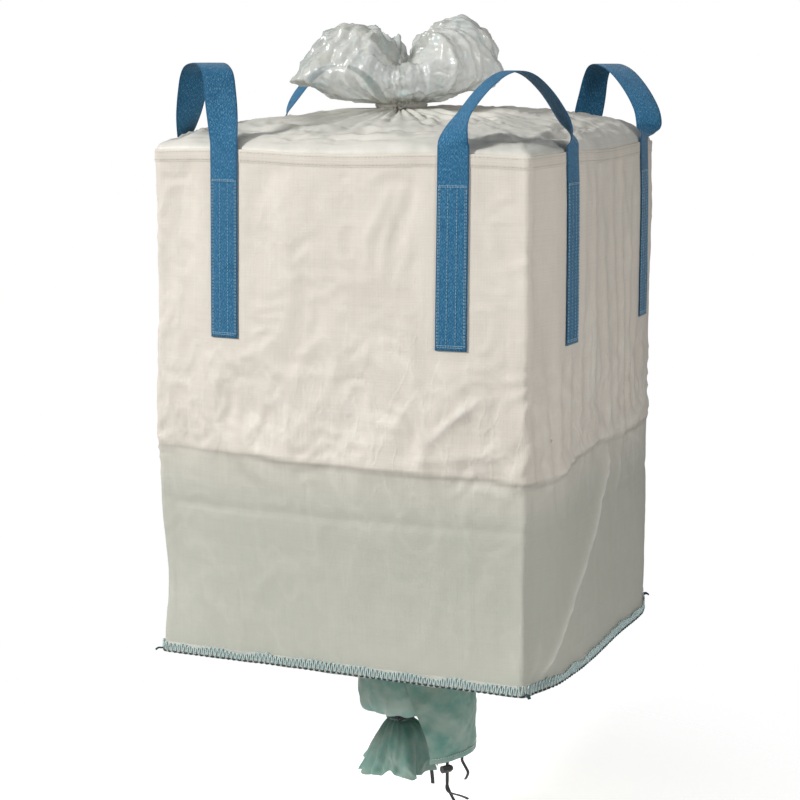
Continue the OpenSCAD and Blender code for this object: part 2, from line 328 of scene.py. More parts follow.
class Finish:
    def __init__(self, name, **constants):
        self.material = bpy.data.materials.new(name)
        self.material.use_nodes = True
        self.tree = self.material.node_tree
        self.shader = self.tree.nodes["Principled BSDF"]
        for socket, value in constants.items():
            self.shader.inputs[socket].default_value = value

    def node(self, kind, settings=None, sockets=None, out=0):
        made = self.tree.nodes.new("ShaderNode" + kind)
        for name, value in (settings or {}).items():
            if name == "stops":
                for stop, (place, colour) in zip(made.color_ramp.elements, value):
                    stop.position, stop.color = place, colour
            else:
                setattr(made, name, value)
        for key, value in (sockets or {}).items():
            self.plug(made.inputs[key], value)
        return Wire(self, made.outputs[out])

    def plug(self, socket, value):
        if isinstance(value, Wire):
            self.tree.links.new(value.socket, socket)
        else:
            socket.default_value = value

    def wear(self, **sockets):
        for name, value in sockets.items():
            self.plug(self.shader.inputs[name.replace("_", " ")], value)

    def metres(self):
        # metres across the cloth and along it
        place = self.node("UVMap", dict(uv_map="clothMetres"))
        return [self.node("SeparateXYZ", None, {0: place}, out=way) for way in (0, 1)]

    def clothSpot(self, across=1.0, along=1.0):
        place = self.node("UVMap", dict(uv_map="clothMetres"))
        return self.node("Mapping", None, {"Vector": place, "Scale": (across, along, 1.0)})

    def solidSpot(self):
        return self.node("TexCoord", None, None, out=3)

    def mark(self, name):
        return self.node("Attribute", dict(attribute_name=name), None, out=2)

    def noise(self, place, scale, detail=3.0, roughness=0.55):
        return self.node("TexNoise", None, {"Vector": place, "Scale": scale, "Detail": detail,
                                            "Roughness": roughness})

    def colours(self, share, low, high):
        return self.node("Mix", dict(data_type="RGBA"), {0: share, 6: low, 7: high}, out=2)

    def weave(self, pitch):
        # flat tapes crossing over and under, as a height from 0 to 1
        across, along = self.metres()
        warp = (across * (math.pi / pitch)).sine()
        weft = (along * (math.pi / pitch)).sine()
        over = (warp * weft).above(0.0)
        return (warp.size() * over + weft.size() * (1 - over)) ** 0.6

    def bumps(self, height, distance, strength=1.0):
        self.wear(Normal=self.node("Bump", None, {
            "Strength": strength, "Distance": distance, "Height": height}))

    def ridges(self, place, scale):
        # thin bright lines along the middle of a noise
        return (1 - (self.noise(place, scale, 3.0, 0.5) - 0.5).size() * 2).within(0.9, 1.0)


bodyCloth = dict(
    upper=paint(229, 221, 209),
    # lower: the same cloth as upper, painted greyer below the old fold as painted shade of the downward-facing
    # lower wall
    lower=paint(197, 198, 186),
    shade=paint(205, 196, 182),
    pitch=0.0032,
)


def bodyFinish():
    finish = Finish("body_weave", **{"Specular IOR Level": 0.4, "Sheen Weight": 0.08, "Sheen Roughness": 0.5})
    weave = finish.weave(bodyCloth["pitch"])
    tapes = (finish.noise(finish.clothSpot(300, 3), 1.0, 2.0) * 0.5
             + finish.noise(finish.clothSpot(3, 300), 1.0, 2.0) * 0.5)
    clouds = finish.noise(finish.clothSpot(), 2.6, 4.0)
    # below the old fold the cloth is painted darker: painted shade of the lower wall
    below = finish.mark("belowFoldShade")
    crease = finish.mark("creaseWearHighlight")
    handled = finish.mark("handled")
    # fine crinkle ridges: bumps, and also painted white as thin painted highlights
    sharp = (finish.ridges(finish.clothSpot(1.0, 0.75), 6.5)
             + finish.ridges(finish.clothSpot(1.3, 0.6), 13.0) * 0.6) * handled
    colour = finish.colours(below, bodyCloth["upper"], bodyCloth["lower"])
    colour = finish.colours(clouds.within(0.45, 0.8) * 0.35, colour, bodyCloth["shade"])
    colour = finish.colours((1 - weave) * 0.16 + tapes.within(0.3, 0.7) * 0.1, colour, paint(150, 142, 128))
    # whiter along high creases (partly fold wear, partly painted highlight) and on the fine ridges (painted
    # highlight)
    colour = finish.colours(crease * 0.8 + sharp * 0.16, colour, paint(248, 244, 236))
    # a dark line just under the old fold: painted shadow of the fold
    colour = finish.colours(finish.mark("foldLineShadow") * 0.5, colour, paint(140, 136, 124))
    finish.wear(Base_Color=colour, Roughness=0.5 + 0.14 * clouds + 0.1 * tapes)
    crinkle = finish.noise(finish.clothSpot(), 22.0, 5.0, 0.6)
    finish.bumps(weave * 0.1 + tapes * 0.04 + crinkle * 0.5 + sharp * 0.34, 0.004, 0.6)
    return finish


def plainClothFinish(name, light, dark, pitch, roughness, sheen, fineness=1.0):
    # one-colour woven cloth with tapes of slightly different shades
    finish = Finish(name, **{"Specular IOR Level": 0.4, "Sheen Weight": sheen})
    weave = finish.weave(pitch)
    clouds = finish.noise(finish.clothSpot(), 9.0 * fineness, 4.0)
    tapes = finish.noise(finish.clothSpot(260, 6), 1.0, 2.0)
    colour = finish.colours(clouds.within(0.3, 0.75), light, dark)
    colour = finish.colours((1 - weave) * 0.25, colour, tuple(value * 0.45 for value in dark[:3]) + (1,))
    finish.wear(Base_Color=colour, Roughness=roughness + 0.15 * clouds + 0.1 * tapes)
    finish.bumps(weave * 0.8 + tapes * 0.4, 0.0004, 0.6)
    return finish


def filmFinish():
    # thin clear film, milky where it lies double
    finish = Finish("liner_film", **{"Specular IOR Level": 0.7, "Coat Roughness": 0.12, "IOR": 1.5})
    spot = finish.solidSpot()
    clouds = finish.noise(spot, 11.0, 3.0)
    patches = finish.noise(spot, 23.0, 2.0)
    fine = finish.noise(spot, 70.0, 4.0, 0.6)
    colour = finish.colours(clouds.within(0.35, 0.7), paint(192, 198, 194), paint(218, 217, 209))
    colour = finish.colours(patches.within(0.56, 0.72) * 0.5, colour, paint(176, 214, 214))
    # cream patches: painted reflection of the cream skirt in the film
    colour = finish.colours((1 - patches).within(0.58, 0.74) * 0.35, colour, paint(236, 228, 190))
    edge = finish.node("LayerWeight", None, {"Blend": 0.35}, out=1)
    finish.wear(Base_Color=colour, Roughness=0.16 + 0.22 * clouds, Coat_Weight=0.3 + 0.5 * patches,
                Alpha=0.42 + 0.18 * clouds + 0.35 * edge)
    finish.bumps(fine * 0.6 + patches * 0.8, 0.004, 0.5)
    return finish


webbing = dict(
    face=paint(28, 126, 170),
    deep=paint(8, 74, 114),
    fleck=paint(128, 178, 206),
    rib=0.0026,
)


def webbingFinish():
    finish = Finish("webbing_blue", **{
        "Specular IOR Level": 0.35, "Sheen Weight": 0.25, "Sheen Roughness": 0.4})
    across, along = finish.metres()
    slant = (along + across.size() * 0.9) * (2 * math.pi / webbing["rib"] / 2.4)
    herring = slant.sine() * 0.5 + 0.5
    cords = (across * (math.pi / webbing["rib"])).sine().size()
    flecks = finish.noise(finish.clothSpot(620, 150), 1.0, 3.0)
    wear = finish.noise(finish.clothSpot(), 26.0, 4.0)
    edge = across.size().within(0.029, 0.0345)
    colour = finish.colours(herring * 0.45 + cords * 0.3, webbing["deep"], webbing["face"])
    colour = finish.colours(flecks.within(0.48, 0.66) * 0.5, colour, webbing["fleck"])
    colour = finish.colours(wear.within(0.5, 0.75) * 0.35, colour, webbing["deep"])
    colour = finish.colours(edge * 0.55, colour, webbing["deep"])
    finish.wear(Base_Color=colour, Roughness=0.55 + 0.25 * wear)
    finish.bumps(herring * 0.5 + cords + flecks * 0.5, 0.0008, 0.8)
    return finish


def threadFinish(name, light, dark, roughness=0.6):
    # twisted yarn
    finish = Finish(name, **{"Specular IOR Level": 0.3, "Sheen Weight": 0.2})
    across, along = finish.metres()
    twist = ((along * 1.6 + across * 2.0) * (2 * math.pi / 0.0018)).sine() * 0.5 + 0.5
    patches = finish.noise(finish.clothSpot(), 60.0, 2.0)
    finish.wear(Base_Color=finish.colours(twist * 0.6 + patches * 0.4, dark, light),
                Roughness=roughness + 0.2 * patches)
    finish.bumps(twist, 0.0003, 0.7)
    return finish


def tapeFinish(name, light, dark):
    # narrow woven tape with a rib along it
    finish = Finish(name, **{"Specular IOR Level": 0.35, "Sheen Weight": 0.15})
    across, along = finish.metres()
    ribs = (across * (math.pi / 0.0011)).sine().size()
    picks = (along * (math.pi / 0.0016)).sine().size()
    wear = finish.noise(finish.clothSpot(), 90.0, 3.0)
    finish.wear(Base_Color=finish.colours(ribs * 0.4 + picks * 0.25 + wear * 0.35, dark, light),
                Roughness=0.55 + 0.3 * wear)
    finish.bumps(ribs + picks * 0.6, 0.0004, 0.7)
    return finish


def plasticFinish():
    finish = Finish("lock_plastic", **{"Specular IOR Level": 0.5})
    grain = finish.noise(finish.solidSpot(), 900.0, 2.0)
    patches = finish.noise(finish.solidSpot(), 70.0, 3.0)
    finish.wear(Base_Color=finish.colours(patches.within(0.35, 0.7), paint(27, 28, 30), paint(48, 50, 52)),
                Roughness=0.34 + 0.2 * patches)
    finish.bumps(grain, 0.00015, 0.5)
    return finish


def steelFinish():
    finish = Finish("spring_steel", **{"Metallic": 1.0})
    drawn = finish.noise(finish.solidSpot(), 400.0, 3.0)
    finish.wear(Base_Color=finish.colours(drawn, paint(150, 152, 156), paint(205, 206, 208)),
                Roughness=0.24 + 0.2 * drawn)
    finish.bumps(drawn, 0.00008, 0.4)
    return finish


bodyWeave = bodyFinish()
hemWeave = plainClothFinish("hem_weave", paint(228, 220, 208), paint(214, 206, 193), 0.0032, 0.5, 0.08)
skirtWeave = plainClothFinish("skirt_weave", paint(224, 221, 211), paint(200, 199, 190), 0.0024, 0.34, 0.15)
# the lip is painted as dark as the body's lower wall: painted shade on the same cloth as the lighter hem
lipWeave = plainClothFinish("lip_weave", paint(204, 202, 192), paint(172, 176, 168), 0.0032, 0.5, 0.08)
panelWeave = plainClothFinish("panel_weave", paint(212, 206, 194), paint(196, 190, 176), 0.0032, 0.52, 0.08)
# dark teal-grey spout cloth: a green-tinted cloth painted dark as painted shade of the bag's underside
spoutShadedWeave = plainClothFinish("spout_weave_shaded", paint(140, 160, 151), paint(80, 134, 123), 0.0022, 0.5, 0.25,
                              fineness=1.6)
film = filmFinish()
blueWebbing = webbingFinish()
paleThread = threadFinish("pale_thread", paint(190, 214, 222), paint(96, 150, 178))
creamThread = threadFinish("cream_thread", paint(226, 222, 212), paint(186, 180, 168))
aquaThread = threadFinish("aqua_thread", paint(234, 244, 241), paint(164, 206, 206))
darkThread = threadFinish("dark_thread", paint(40, 82, 88), paint(16, 28, 36))
charcoalTape = tapeFinish("charcoal_tape", paint(66, 68, 72), paint(26, 28, 31))
whiteTape = tapeFinish("white_tape", paint(222, 220, 212), paint(184, 181, 172))
lockPlastic = plasticFinish()
springSteel = steelFinish()
print("finishes made")


# routes in metres, heights from the base seam
coverTapes = dict(
    thickness=0.0012,
    facing=55,      # degrees from the right that the cover's tapes lie across
    cover_tape_side=dict(width=0.008, route=[
        (0.144, -0.042, -0.320), (0.144, -0.042, -0.328), (0.152, -0.043, -0.341), (0.160, -0.044, -0.354),
        (0.158, -0.045, -0.365), (0.153, -0.045, -0.374)]),
    cover_tape_long=dict(width=0.008, route=[
        (0.122, -0.0855, -0.320), (0.122, -0.0855, -0.346), (0.122, -0.0855, -0.374), (0.127, -0.087, -0.389),
        (0.138, -0.090, -0.406), (0.152, -0.092, -0.426), (0.166, -0.094, -0.440), (0.182, -0.095, -0.450),
        (0.196, -0.095, -0.450), (0.206, -0.094, -0.442), (0.209, -0.093, -0.430)]),
    cover_tape_short=dict(width=0.008, route=[
        (0.1235, -0.087, -0.320), (0.1235, -0.087, -0.346), (0.1235, -0.087, -0.369), (0.125, -0.095, -0.382),
        (0.133, -0.102, -0.389), (0.146, -0.104, -0.391), (0.160, -0.105, -0.392), (0.174, -0.106, -0.394),
        (0.186, -0.107, -0.397)]),
    spout_tie_tail=dict(width=0.010, route=[
        (-0.045, 0.036, -0.274), (-0.040, 0.052, -0.292), (-0.030, 0.070, -0.314), (-0.018, 0.085, -0.340),
        (-0.006, 0.095, -0.370), (0.002, 0.100, -0.400), (0.006, 0.102, -0.430), (0.008, 0.103, -0.457)]),
)


def hangTape(node, body, angle):
    plan = coverTapes[node]
    line = smoothLine(np.array(plan["route"]) + (0, 0, baseZ), 5)
    length = float(np.linalg.norm(np.diff(line, axis=0), axis=1).sum())
    piece = flatStrip(node.replace("_tape", "_ribbon").replace("tie_tail", "tie_ribbon"), line,
                      roundSpots(1, math.radians(angle), 0), plan["width"], coverTapes["thickness"], charcoalTape)
    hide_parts(node)
    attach(piece, body)
    return length


for tapeNode in ("cover_tape_side", "cover_tape_long", "cover_tape_short"):
    print(tapeNode, "length", round(hangTape(tapeNode, "bag", coverTapes["facing"]), 3))
print("spout_tie_tail length", round(hangTape("spout_tie_tail", "spout_end", 0), 3))

bag = dict(
    halfSide=0.45,
    cornerRadius=0.017,
    # height above the base seam and how far each side's middle stands out there: front, right, back, left
    bulges=[
        (0.00, 0.000, 0.038, 0.016, 0.010),
        (0.10, 0.008, 0.040, 0.020, 0.014),
        (0.30, 0.024, 0.038, 0.026, 0.022),
        (0.48, 0.036, 0.033, 0.032, 0.030),
        (0.80, 0.030, 0.034, 0.030, 0.030),
        (1.05, 0.022, 0.032, 0.026, 0.026),
        (1.16, 0.018, 0.028, 0.022, 0.022)],
    fullness=(4, 8, 4, 4),      # how squarely each side stands out
    cornerDents=(0.008, 0.010, 0.008, 0.012),  # right front, right back, left back, left front
    dentHeight=0.17,            # above the base seam
    dentReach=(0.07, 0.11),     # round the bag and up
    leastReach=0.005,           # what stays of a corner's radius in a dent
    legPlace=0.27,              # the loops' legs from each side's middle
    legEnd=(0.47, 0.43),        # below the rim, where the legs' flat stretch begins
    rimDip=0.006,
    columns=110,
    cornerColumns=10,
    rows=152,
)
cornerNames = ("front_right", "back_right", "back_left", "front_left")
flatHalf = bag["halfSide"] - bag["cornerRadius"]
cornerArc = bag["cornerRadius"] * math.pi / 2
sideRun = 2 * flatHalf + cornerArc

# the old horizontal fold: side, place along it, height above the base
midFold = [
    (0, -0.405, 0.492), (0, -0.32, 0.490), (0, -0.20, 0.489), (0, -0.11, 0.484), (0, 0.00, 0.481),
    (0, 0.11, 0.480), (0, 0.24, 0.477), (0, 0.35, 0.474), (0, 0.42, 0.468),
    (1, -0.40, 0.462), (1, -0.33, 0.462), (1, -0.28, 0.478), (1, -0.20, 0.492), (1, -0.08, 0.497),
    (1, 0.02, 0.491), (1, 0.14, 0.482), (1, 0.30, 0.488), (1, 0.44, 0.494),
    (2, -0.36, 0.486), (2, -0.15, 0.480), (2, 0.10, 0.484), (2, 0.34, 0.478), (2, 0.43, 0.462),
    (3, -0.38, 0.470), (3, -0.20, 0.484), (3, 0.05, 0.488), (3, 0.30, 0.492)]

# sharp creases: height and width in metres, then the line as (side, along, height above the base)
creases = [
    (0.0105, 0.011, [(0, 0.36, 0.655), (0, 0.279, 0.591), (0, 0.221, 0.531)]),
    (0.0030, 0.009, [(0, -0.046, 0.538), (0, 0.009, 0.493)]),
    (0.0025, 0.008, [(0, -0.012, 0.64), (0, -0.012, 0.535)]),
    (0.0022, 0.008, [(0, 0.013, 0.70), (0, 0.019, 0.49)]),
    (0.0022, 0.009, [(0, 0.055, 0.70), (0, 0.036, 0.61)]),
    (0.0040, 0.012, [(0, 0.13, 0.494), (0, 0.237, 0.506), (0, 0.34, 0.520), (0, 0.405, 0.530)]),
    (0.0045, 0.010, [(1, -0.41, 0.568), (1, -0.34, 0.566)]),
    (0.0040, 0.012, [(0, 0.28, 0.452), (0, 0.36, 0.446), (0, 0.43, 0.424)]),
    (0.0060, 0.010, [(1, -0.39, 0.430), (1, -0.328, 0.468), (1, -0.225, 0.492), (1, -0.084, 0.500),
                     (1, 0.05, 0.505), (1, 0.16, 0.520)]),
    (0.0155, 0.016, [(1, -0.005, 0.490), (1, -0.02, 0.42), (1, -0.064, 0.367), (1, -0.127, 0.305),
                     (1, -0.202, 0.239), (1, -0.259, 0.190), (1, -0.301, 0.143), (1, -0.345, 0.085),
                     (1, -0.40, 0.016)]),
    (0.0045, 0.012, [(1, 0.08, 0.47), (1, 0.10, 0.40), (1, 0.06, 0.33)]),
    (0.0050, 0.014, [(1, -0.146, 0.78), (1, -0.134, 0.62), (1, -0.140, 0.52)]),
    (0.0050, 0.012, [(1, -0.075, 0.76), (1, -0.070, 0.62), (1, -0.085, 0.51)]),
    (0.0055, 0.012, [(1, 0.015, 0.78), (1, 0.004, 0.62), (1, 0.00, 0.51)]),
    (0.0050, 0.014, [(1, 0.098, 0.74), (1, 0.085, 0.60), (1, 0.07, 0.51)]),
    (0.0060, 0.012, [(1, 0.14, 0.486), (1, 0.24, 0.520), (1, 0.38, 0.560)]),
    (0.0040, 0.010, [(1, 0.20, 0.49), (1, 0.30, 0.545), (1, 0.37, 0.60)]),
    (-0.0040, 0.008, [(3, 0.40, 0.362), (0, -0.44, 0.356), (0, -0.415, 0.352)]),
    (0.0028, 0.008, [(0, -0.418, 0.35), (0, -0.424, 0.20), (0, -0.428, 0.03)]),
    (0.0018, 0.006, [(0, 0.320, 0.46), (0, 0.321, 0.02)]),
    (0.0040, 0.010, [(1, -0.385, 0.14), (1, -0.40, 0.06), (0, 0.45, 0.01)]),
    (0.0035, 0.010, [(0, 0.405, 0.12), (0, 0.43, 0.05), (0, 0.44, 0.01)]),
    (0.0028, 0.014, [(0, -0.36, 1.06), (0, -0.30, 0.94), (0, -0.33, 0.80)]),
    (0.0024, 0.012, [(0, -0.12, 1.06), (0, -0.10, 0.97), (0, -0.03, 0.90)]),
    (0.0026, 0.012, [(0, 0.14, 1.08), (0, 0.10, 0.98), (0, 0.14, 0.86)]),
    (0.0022, 0.012, [(0, -0.20, 0.72), (0, -0.10, 0.66), (0, 0.02, 0.69)]),
    (0.0030, 0.012, [(2, -0.28, 0.66), (2, -0.14, 0.58), (2, -0.05, 0.49)]),
    (0.0050, 0.011, [(2, 0.02, 0.48), (2, 0.12, 0.34), (2, 0.27, 0.20), (2, 0.40, 0.04)]),
    (0.0035, 0.012, [(2, 0.30, 0.60), (2, 0.18, 0.55), (2, 0.08, 0.49)]),
    (0.0030, 0.012, [(2, -0.08, 0.78), (2, -0.06, 0.62), (2, -0.09, 0.50)]),
    (0.0040, 0.012, [(3, -0.30, 0.47), (3, -0.20, 0.36), (3, -0.05, 0.26), (3, 0.20, 0.06)]),
    (0.0035, 0.012, [(3, 0.06, 0.76), (3, 0.02, 0.62), (3, 0.04, 0.50)]),
    (0.0030, 0.012, [(3, 0.26, 0.68), (3, 0.17, 0.58), (3, 0.12, 0.50)]),
]


def runOf(side, along):
    # how far round the bag, in metres from the left end of the front
    return np.asarray(side) * sideRun + along + flatHalf


foldRun = np.array([runOf(side, along) for side, along, _ in midFold])
foldHeight = np.array([height for _, _, height in midFold])


def foldAt(run):
    return np.interp(run % (4 * sideRun), np.concatenate([foldRun, foldRun[:1] + 4 * sideRun]),
                     np.concatenate([foldHeight, foldHeight[:1]]))


def alongLine(run, height, line, taper=0.06):
    # distance to a crease's line, and how near its middle
    points = np.array([(runOf(side, along), up) for side, along, up in line])
    whole = 4 * sideRun
    middle = points[:, 0].mean()
    here = np.stack([(run - middle + whole / 2) % whole - whole / 2 + middle, height], -1)
    total = np.linalg.norm(np.diff(points, axis=0), axis=1).sum()
    best = np.full(run.shape, 9.0)
    place = np.zeros(run.shape)
    done = 0.0
    for start, end in zip(points, points[1:]):
        step = end - start
        length = np.linalg.norm(step)
        share = np.clip(((here - start) @ step) / length ** 2, 0, 1)
        away = np.linalg.norm(here - start - share[..., None] * step, axis=-1)
        place = np.where(away < best, done + share * length, place)
        best = np.minimum(best, away)
        done += length
    ends = easeIn(place, 0, taper) * easeIn(total - place, 0, taper)
    return best, ends


# the wall's softer shapes, in metres
softFolds = dict(
    foldOut=0.0058,             # how far the old fold stands out
    foldSlopes=(0.05, 0.028),   # how far its slopes reach, above and below
    swell=(0.0030, 0.46),       # slow waves: height, size
    nearFold=0.22,              # how far from the fold the crumpling stays strong
    coarse=(0.0026, 0.0036, 0.20),  # crumples: height everywhere, height added near the fold, size
    fine=(0.0017, 0.0018, 0.08),
    uprights=(0.0015, 0.19),    # soft upright waves of the upper wall: height, spacing
    streaks=(0.0085, 0.15),     # tension lines of the right side above the fold: height, spacing
    whiteFrom=0.002,            # creases higher than this are painted white: partly fold wear, partly a painted highlight on the ridge
)


def relief(run, height, points):
    # what the folds and creases add to the plain wall
    over = height - foldAt(run)
    above, below = softFolds["foldSlopes"]
    tent = np.where(over > 0, np.exp(-np.maximum(over, 0) / above), np.exp(np.minimum(over, 0) / below))
    out = softFolds["foldOut"] * tent * (0.7 + 0.3 * ripple(points, 0.22, 31))
    out += softFolds["swell"][0] * ripple(points, softFolds["swell"][1], 3)
    near = np.exp(-(over / softFolds["nearFold"]) ** 2)
    upper = 0.35 + 0.65 * easeIn(over, -0.06, 0.02)
    for plan, flatten, seed in (("coarse", 0.6, 5), ("fine", 0.7, 9)):
        everywhere, added, size = softFolds[plan]
        out += upper * (everywhere + added * near) * crumple(points * (1, 1, flatten), size, seed)
    calm = easeIn(bodyHeight - height, 0, 0.06)
    rise, spacing = softFolds["uprights"]
    upright = np.sin((runOf(0, 0) + run) * 2 * math.pi / spacing + 2.5 * ripple(points * (1, 1, 0.25), 0.6, 12))
    out += rise * easeIn(height, 0.55, 1.1) * upright
    rightSide = easeIn(run, sideRun + 0.03, sideRun + 0.12) * easeIn(2 * sideRun - run, 0.06, 0.2)
    rise, spacing = softFolds["streaks"]
    streaks = np.abs(np.sin(run * 2 * math.pi / spacing + 1.4 * ripple(points * (1, 1, 0.3), 0.5, 14)))
    out += rise * rightSide * easeIn(over, 0.0, 0.10) * (1 - 0.6 * easeIn(over, 0.3, 0.6)) * (0.5 - streaks)
    wear = np.zeros(run.shape)
    for depth, width, line in creases:
        away, ends = alongLine(run, height, line)
        out += depth * np.exp(-away / width) * ends
        # high creases are painted white along their ridge: partly fold wear, partly a painted highlight
        white = min(max(depth - softFolds["whiteFrom"], 0) / 0.009, 1)
        wear = np.maximum(wear, np.exp(-away / 0.004) * ends * white)
    return out * (0.35 + 0.65 * calm), wear


def wall(side, along, height, off=0.0, full=False):
    # points on the outside of the cloth; along runs over the side and on round its right-hand corner
    side, along, height, off = (np.asarray(v, float) for v in np.broadcast_arrays(side, along, height, off))
    number = side.astype(int)
    turn = np.clip(along - flatHalf, 0, cornerArc) / bag["cornerRadius"]
    flat = np.clip(along, -flatHalf, flatHalf)
    levels = np.array([row[0] for row in bag["bulges"]])
    bulge = np.zeros(side.shape)
    for index in range(4):
        amounts = np.array([row[index + 1] for row in bag["bulges"]])
        share = (1 - np.abs(flat / flatHalf) ** bag["fullness"][index]) ** 2
        bulge = np.where(number == index, np.interp(height, levels, amounts) * share, bulge)
    run = runOf(side, along)
    plain = quarterTurn(np.stack([
        flat + bag["cornerRadius"] * np.sin(turn),
        -flatHalf - bag["cornerRadius"] * np.cos(turn), height], -1), number)
    added, wear = relief(run, height, plain)
    dent = np.zeros(side.shape)
    for index in range(4):
        middle = index * sideRun + 2 * flatHalf + cornerArc / 2
        away = (run - middle + 2 * sideRun) % (4 * sideRun) - 2 * sideRun
        dent += bag["cornerDents"][index] * np.exp(-(away / bag["dentReach"][0]) ** 2)
    dent = dent * np.exp(-((height - bag["dentHeight"]) / bag["dentReach"][1]) ** 2)
    legs = np.abs(np.abs(flat) - bag["legPlace"])
    flatFrom, flatTo = bag["legEnd"]
    sewnFlat = (1 - easeIn(legs, 0.050, 0.085)) * easeIn(height, bodyHeight - flatFrom, bodyHeight - flatTo)
    out = off + bulge + added * (1 - 0.85 * sewnFlat) - dent
    dip = bag["rimDip"] * easeIn(legs, 0.02, 0.24) * easeIn(height, bodyHeight - 0.16, bodyHeight)
    reach = np.maximum(bag["cornerRadius"] + out, bag["leastReach"])
    points = quarterTurn(np.stack([
        flat + reach * np.sin(turn), -flatHalf - reach * np.cos(turn), baseZ + height - dip], -1), number)
    return (points, wear) if full else points


def quarterTurn(points, number):
    x, y, z = points[..., 0], points[..., 1], points[..., 2]
    return np.stack([np.choose(number, [x, -y, -x, y]), np.choose(number, [y, x, -y, -x]), z], -1)


def wallOut(side, along, height):
    # the wall's outward direction
    step = 0.004
    sideways = wall(side, along + step, height) - wall(side, along - step, height)
    upward = wall(side, along, np.asarray(height) + step) - wall(side, along, np.asarray(height) - step)
    return unit(np.cross(sideways, upward))


def roundColumns(columns, cornerColumns):
    # the columns all round the bag: their sides and places along them
    one = np.concatenate([np.linspace(-flatHalf, flatHalf, columns, endpoint=False),
                          np.linspace(flatHalf, flatHalf + cornerArc, cornerColumns, endpoint=False)])
    return np.repeat(np.arange(4), len(one)), np.tile(one, 4)


sides, alongs = roundColumns(bag["columns"], bag["cornerColumns"])
runs = runOf(sides, alongs)
runsClosed = np.append(runs, 4 * sideRun)


def makeBody():
    heights = np.linspace(0, bodyHeight, bag["rows"])[:, None]
    points, wear = wall(sides[None], alongs[None], heights, full=True)
    under = foldAt(runs)[None] - heights
    # how far below the old fold: the mask for the lower wall's painted shade
    below = 0.5 * easeIn(under, -0.003, 0.012) + 0.5 * easeIn(under, 0.0, 0.13)
    patchy = 0.5 + 0.5 * ripple(points, 0.5, 21)
    # painted shadow line just under the old fold
    lineShade = np.exp(-((under - 0.006) / 0.006) ** 2) * np.clip(0.45 + 0.8 * patchy, 0, 1)
    # where the fine crinkles are strongest; their ridges are also painted white as painted highlights
    handled = np.where(under < 0, 0.35 + 0.65 * np.exp(-(under / 0.28) ** 2),
                       0.22 + 0.5 * np.exp(-under / 0.06))
    marks = dict(belowFoldShade=below, creaseWearHighlight=np.maximum(wear, 0), foldLineShadow=lineShade,
                 handled=np.clip(handled * (0.5 + 0.8 * patchy), 0, 1))
    piece = gridSheet("body_cloth", points, bodyWeave, stacked(runsClosed[None], heights),
                      closed=True, marks=marks)
    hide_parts("body_tube")
    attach(piece, "bag")
    4 * sideRun + 0.03


makeBody()
print("body cloth made")

rimHem = dict(
    depth=0.028,
    # across the folded hem from its outer edge over the rim to its inner edge: outward, up from the rim
    profile=[(0.0002, -0.028), (0.0007, -0.0265), (0.0009, -0.014), (0.0012, -0.002), (0.0006, 0.0008),
             (-0.0008, 0.0012), (-0.0024, 0.0004), (-0.0030, -0.006), (-0.0032, -0.018), (-0.0030, -0.028)],
    rows=(0.005, 0.0225),   # the two seams, below the rim
    stitch=0.0062,
    gap=0.0026,
    thread=0.00055,
)


def stitchPlaces(stitch, gap):
    # the two ends of each stitch round the bag, as side and place along it
    count = int(4 * sideRun / (stitch + gap))
    first = 4 * sideRun * np.arange(count) / count
    both = []
    for place in (first, first + stitch):
        place = place % (4 * sideRun)
        both.append(((place // sideRun).astype(int), place % sideRun - flatHalf))
    return both


def makeRimHem():
    offs, ups = np.array(rimHem["profile"]).T[..., None]
    points = wall(sides[None], alongs[None], bodyHeight + np.minimum(ups, 0), offs)
    points[..., 2] += np.maximum(ups, 0)
    piece = gridSheet("rim_hem", points, hemWeave,
                      stacked(runsClosed[None], np.linspace(0, 0.06, len(ups))[:, None]), closed=True)
    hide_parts("top_hem")
    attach(piece, "bag")
    4 * sideRun
    starts, ends, lifts = [], [], []
    for drop in rimHem["rows"]:
        (sideA, alongA), (sideB, alongB) = stitchPlaces(rimHem["stitch"], rimHem["gap"])
        up = np.full(len(sideA), bodyHeight - drop)
        starts.append(wall(sideA, alongA, up, 0.0016))
        ends.append(wall(sideB, alongB, up, 0.0016))
        lifts.append(wallOut(sideA, alongA, up))
    seam = stitchRow("rim_stitches", np.concatenate(starts), np.concatenate(ends), np.concatenate(lifts),
                     rimHem["thread"], creamThread)
    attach(seam, "bag")


makeRimHem()
print("rim hem made")

basePanel = dict(
    hole=0.142,
    sag=0.012,
    rows=26,
)


def makeBasePanel():
    edge = wall(sides, alongs, 0.0, -0.0015)
    angle = np.arctan2(edge[:, 1], edge[:, 0])
    hole = roundSpots(basePanel["hole"], angle, edge[:, 2])
    share = np.linspace(0, 1, basePanel["rows"])[:, None]
    points = edge[None] + (hole - edge)[None] * share[..., None]
    drop = basePanel["sag"] * np.sin(math.pi / 2 * share ** 0.8)
    crumpled = 0.0022 * ripple(points, 0.2, 61) + 0.0028 * crumple(points, 0.16, 62)
    puckers = 0.002 * folds(angle, 26, 63)[None] * share ** 3
    points[..., 2] += 0.0015 - drop * share ** 0.3 + (crumpled + puckers) * np.sin(math.pi * share ** 0.7)
    piece = gridSheet("base_cloth", points, panelWeave, stacked(runsClosed[None], share * 0.31),
                      closed=True, flip=True)
    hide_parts("base_panel")
    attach(piece, "bag")


makeBasePanel()

baseSeam = dict(
    # down the folded lip: outward, up from the seam
    profile=[(0.0002, 0.017), (0.0009, 0.016), (0.0022, 0.011), (0.0042, 0.004), (0.0044, -0.004),
             (0.0030, -0.0075), (0.0008, -0.0075), (-0.0010, -0.003), (-0.0014, 0.001)],
    zigzag=0.0105,      # each overlock turn along the seam
    low=-0.003,
    high=0.017,
    thread=0.0015,
    dash=0.0105,        # the dark chain stitches at the lower edge
    dashGap=0.0035,
    dashThread=0.0024,
    dashDrop=0.0045,
)


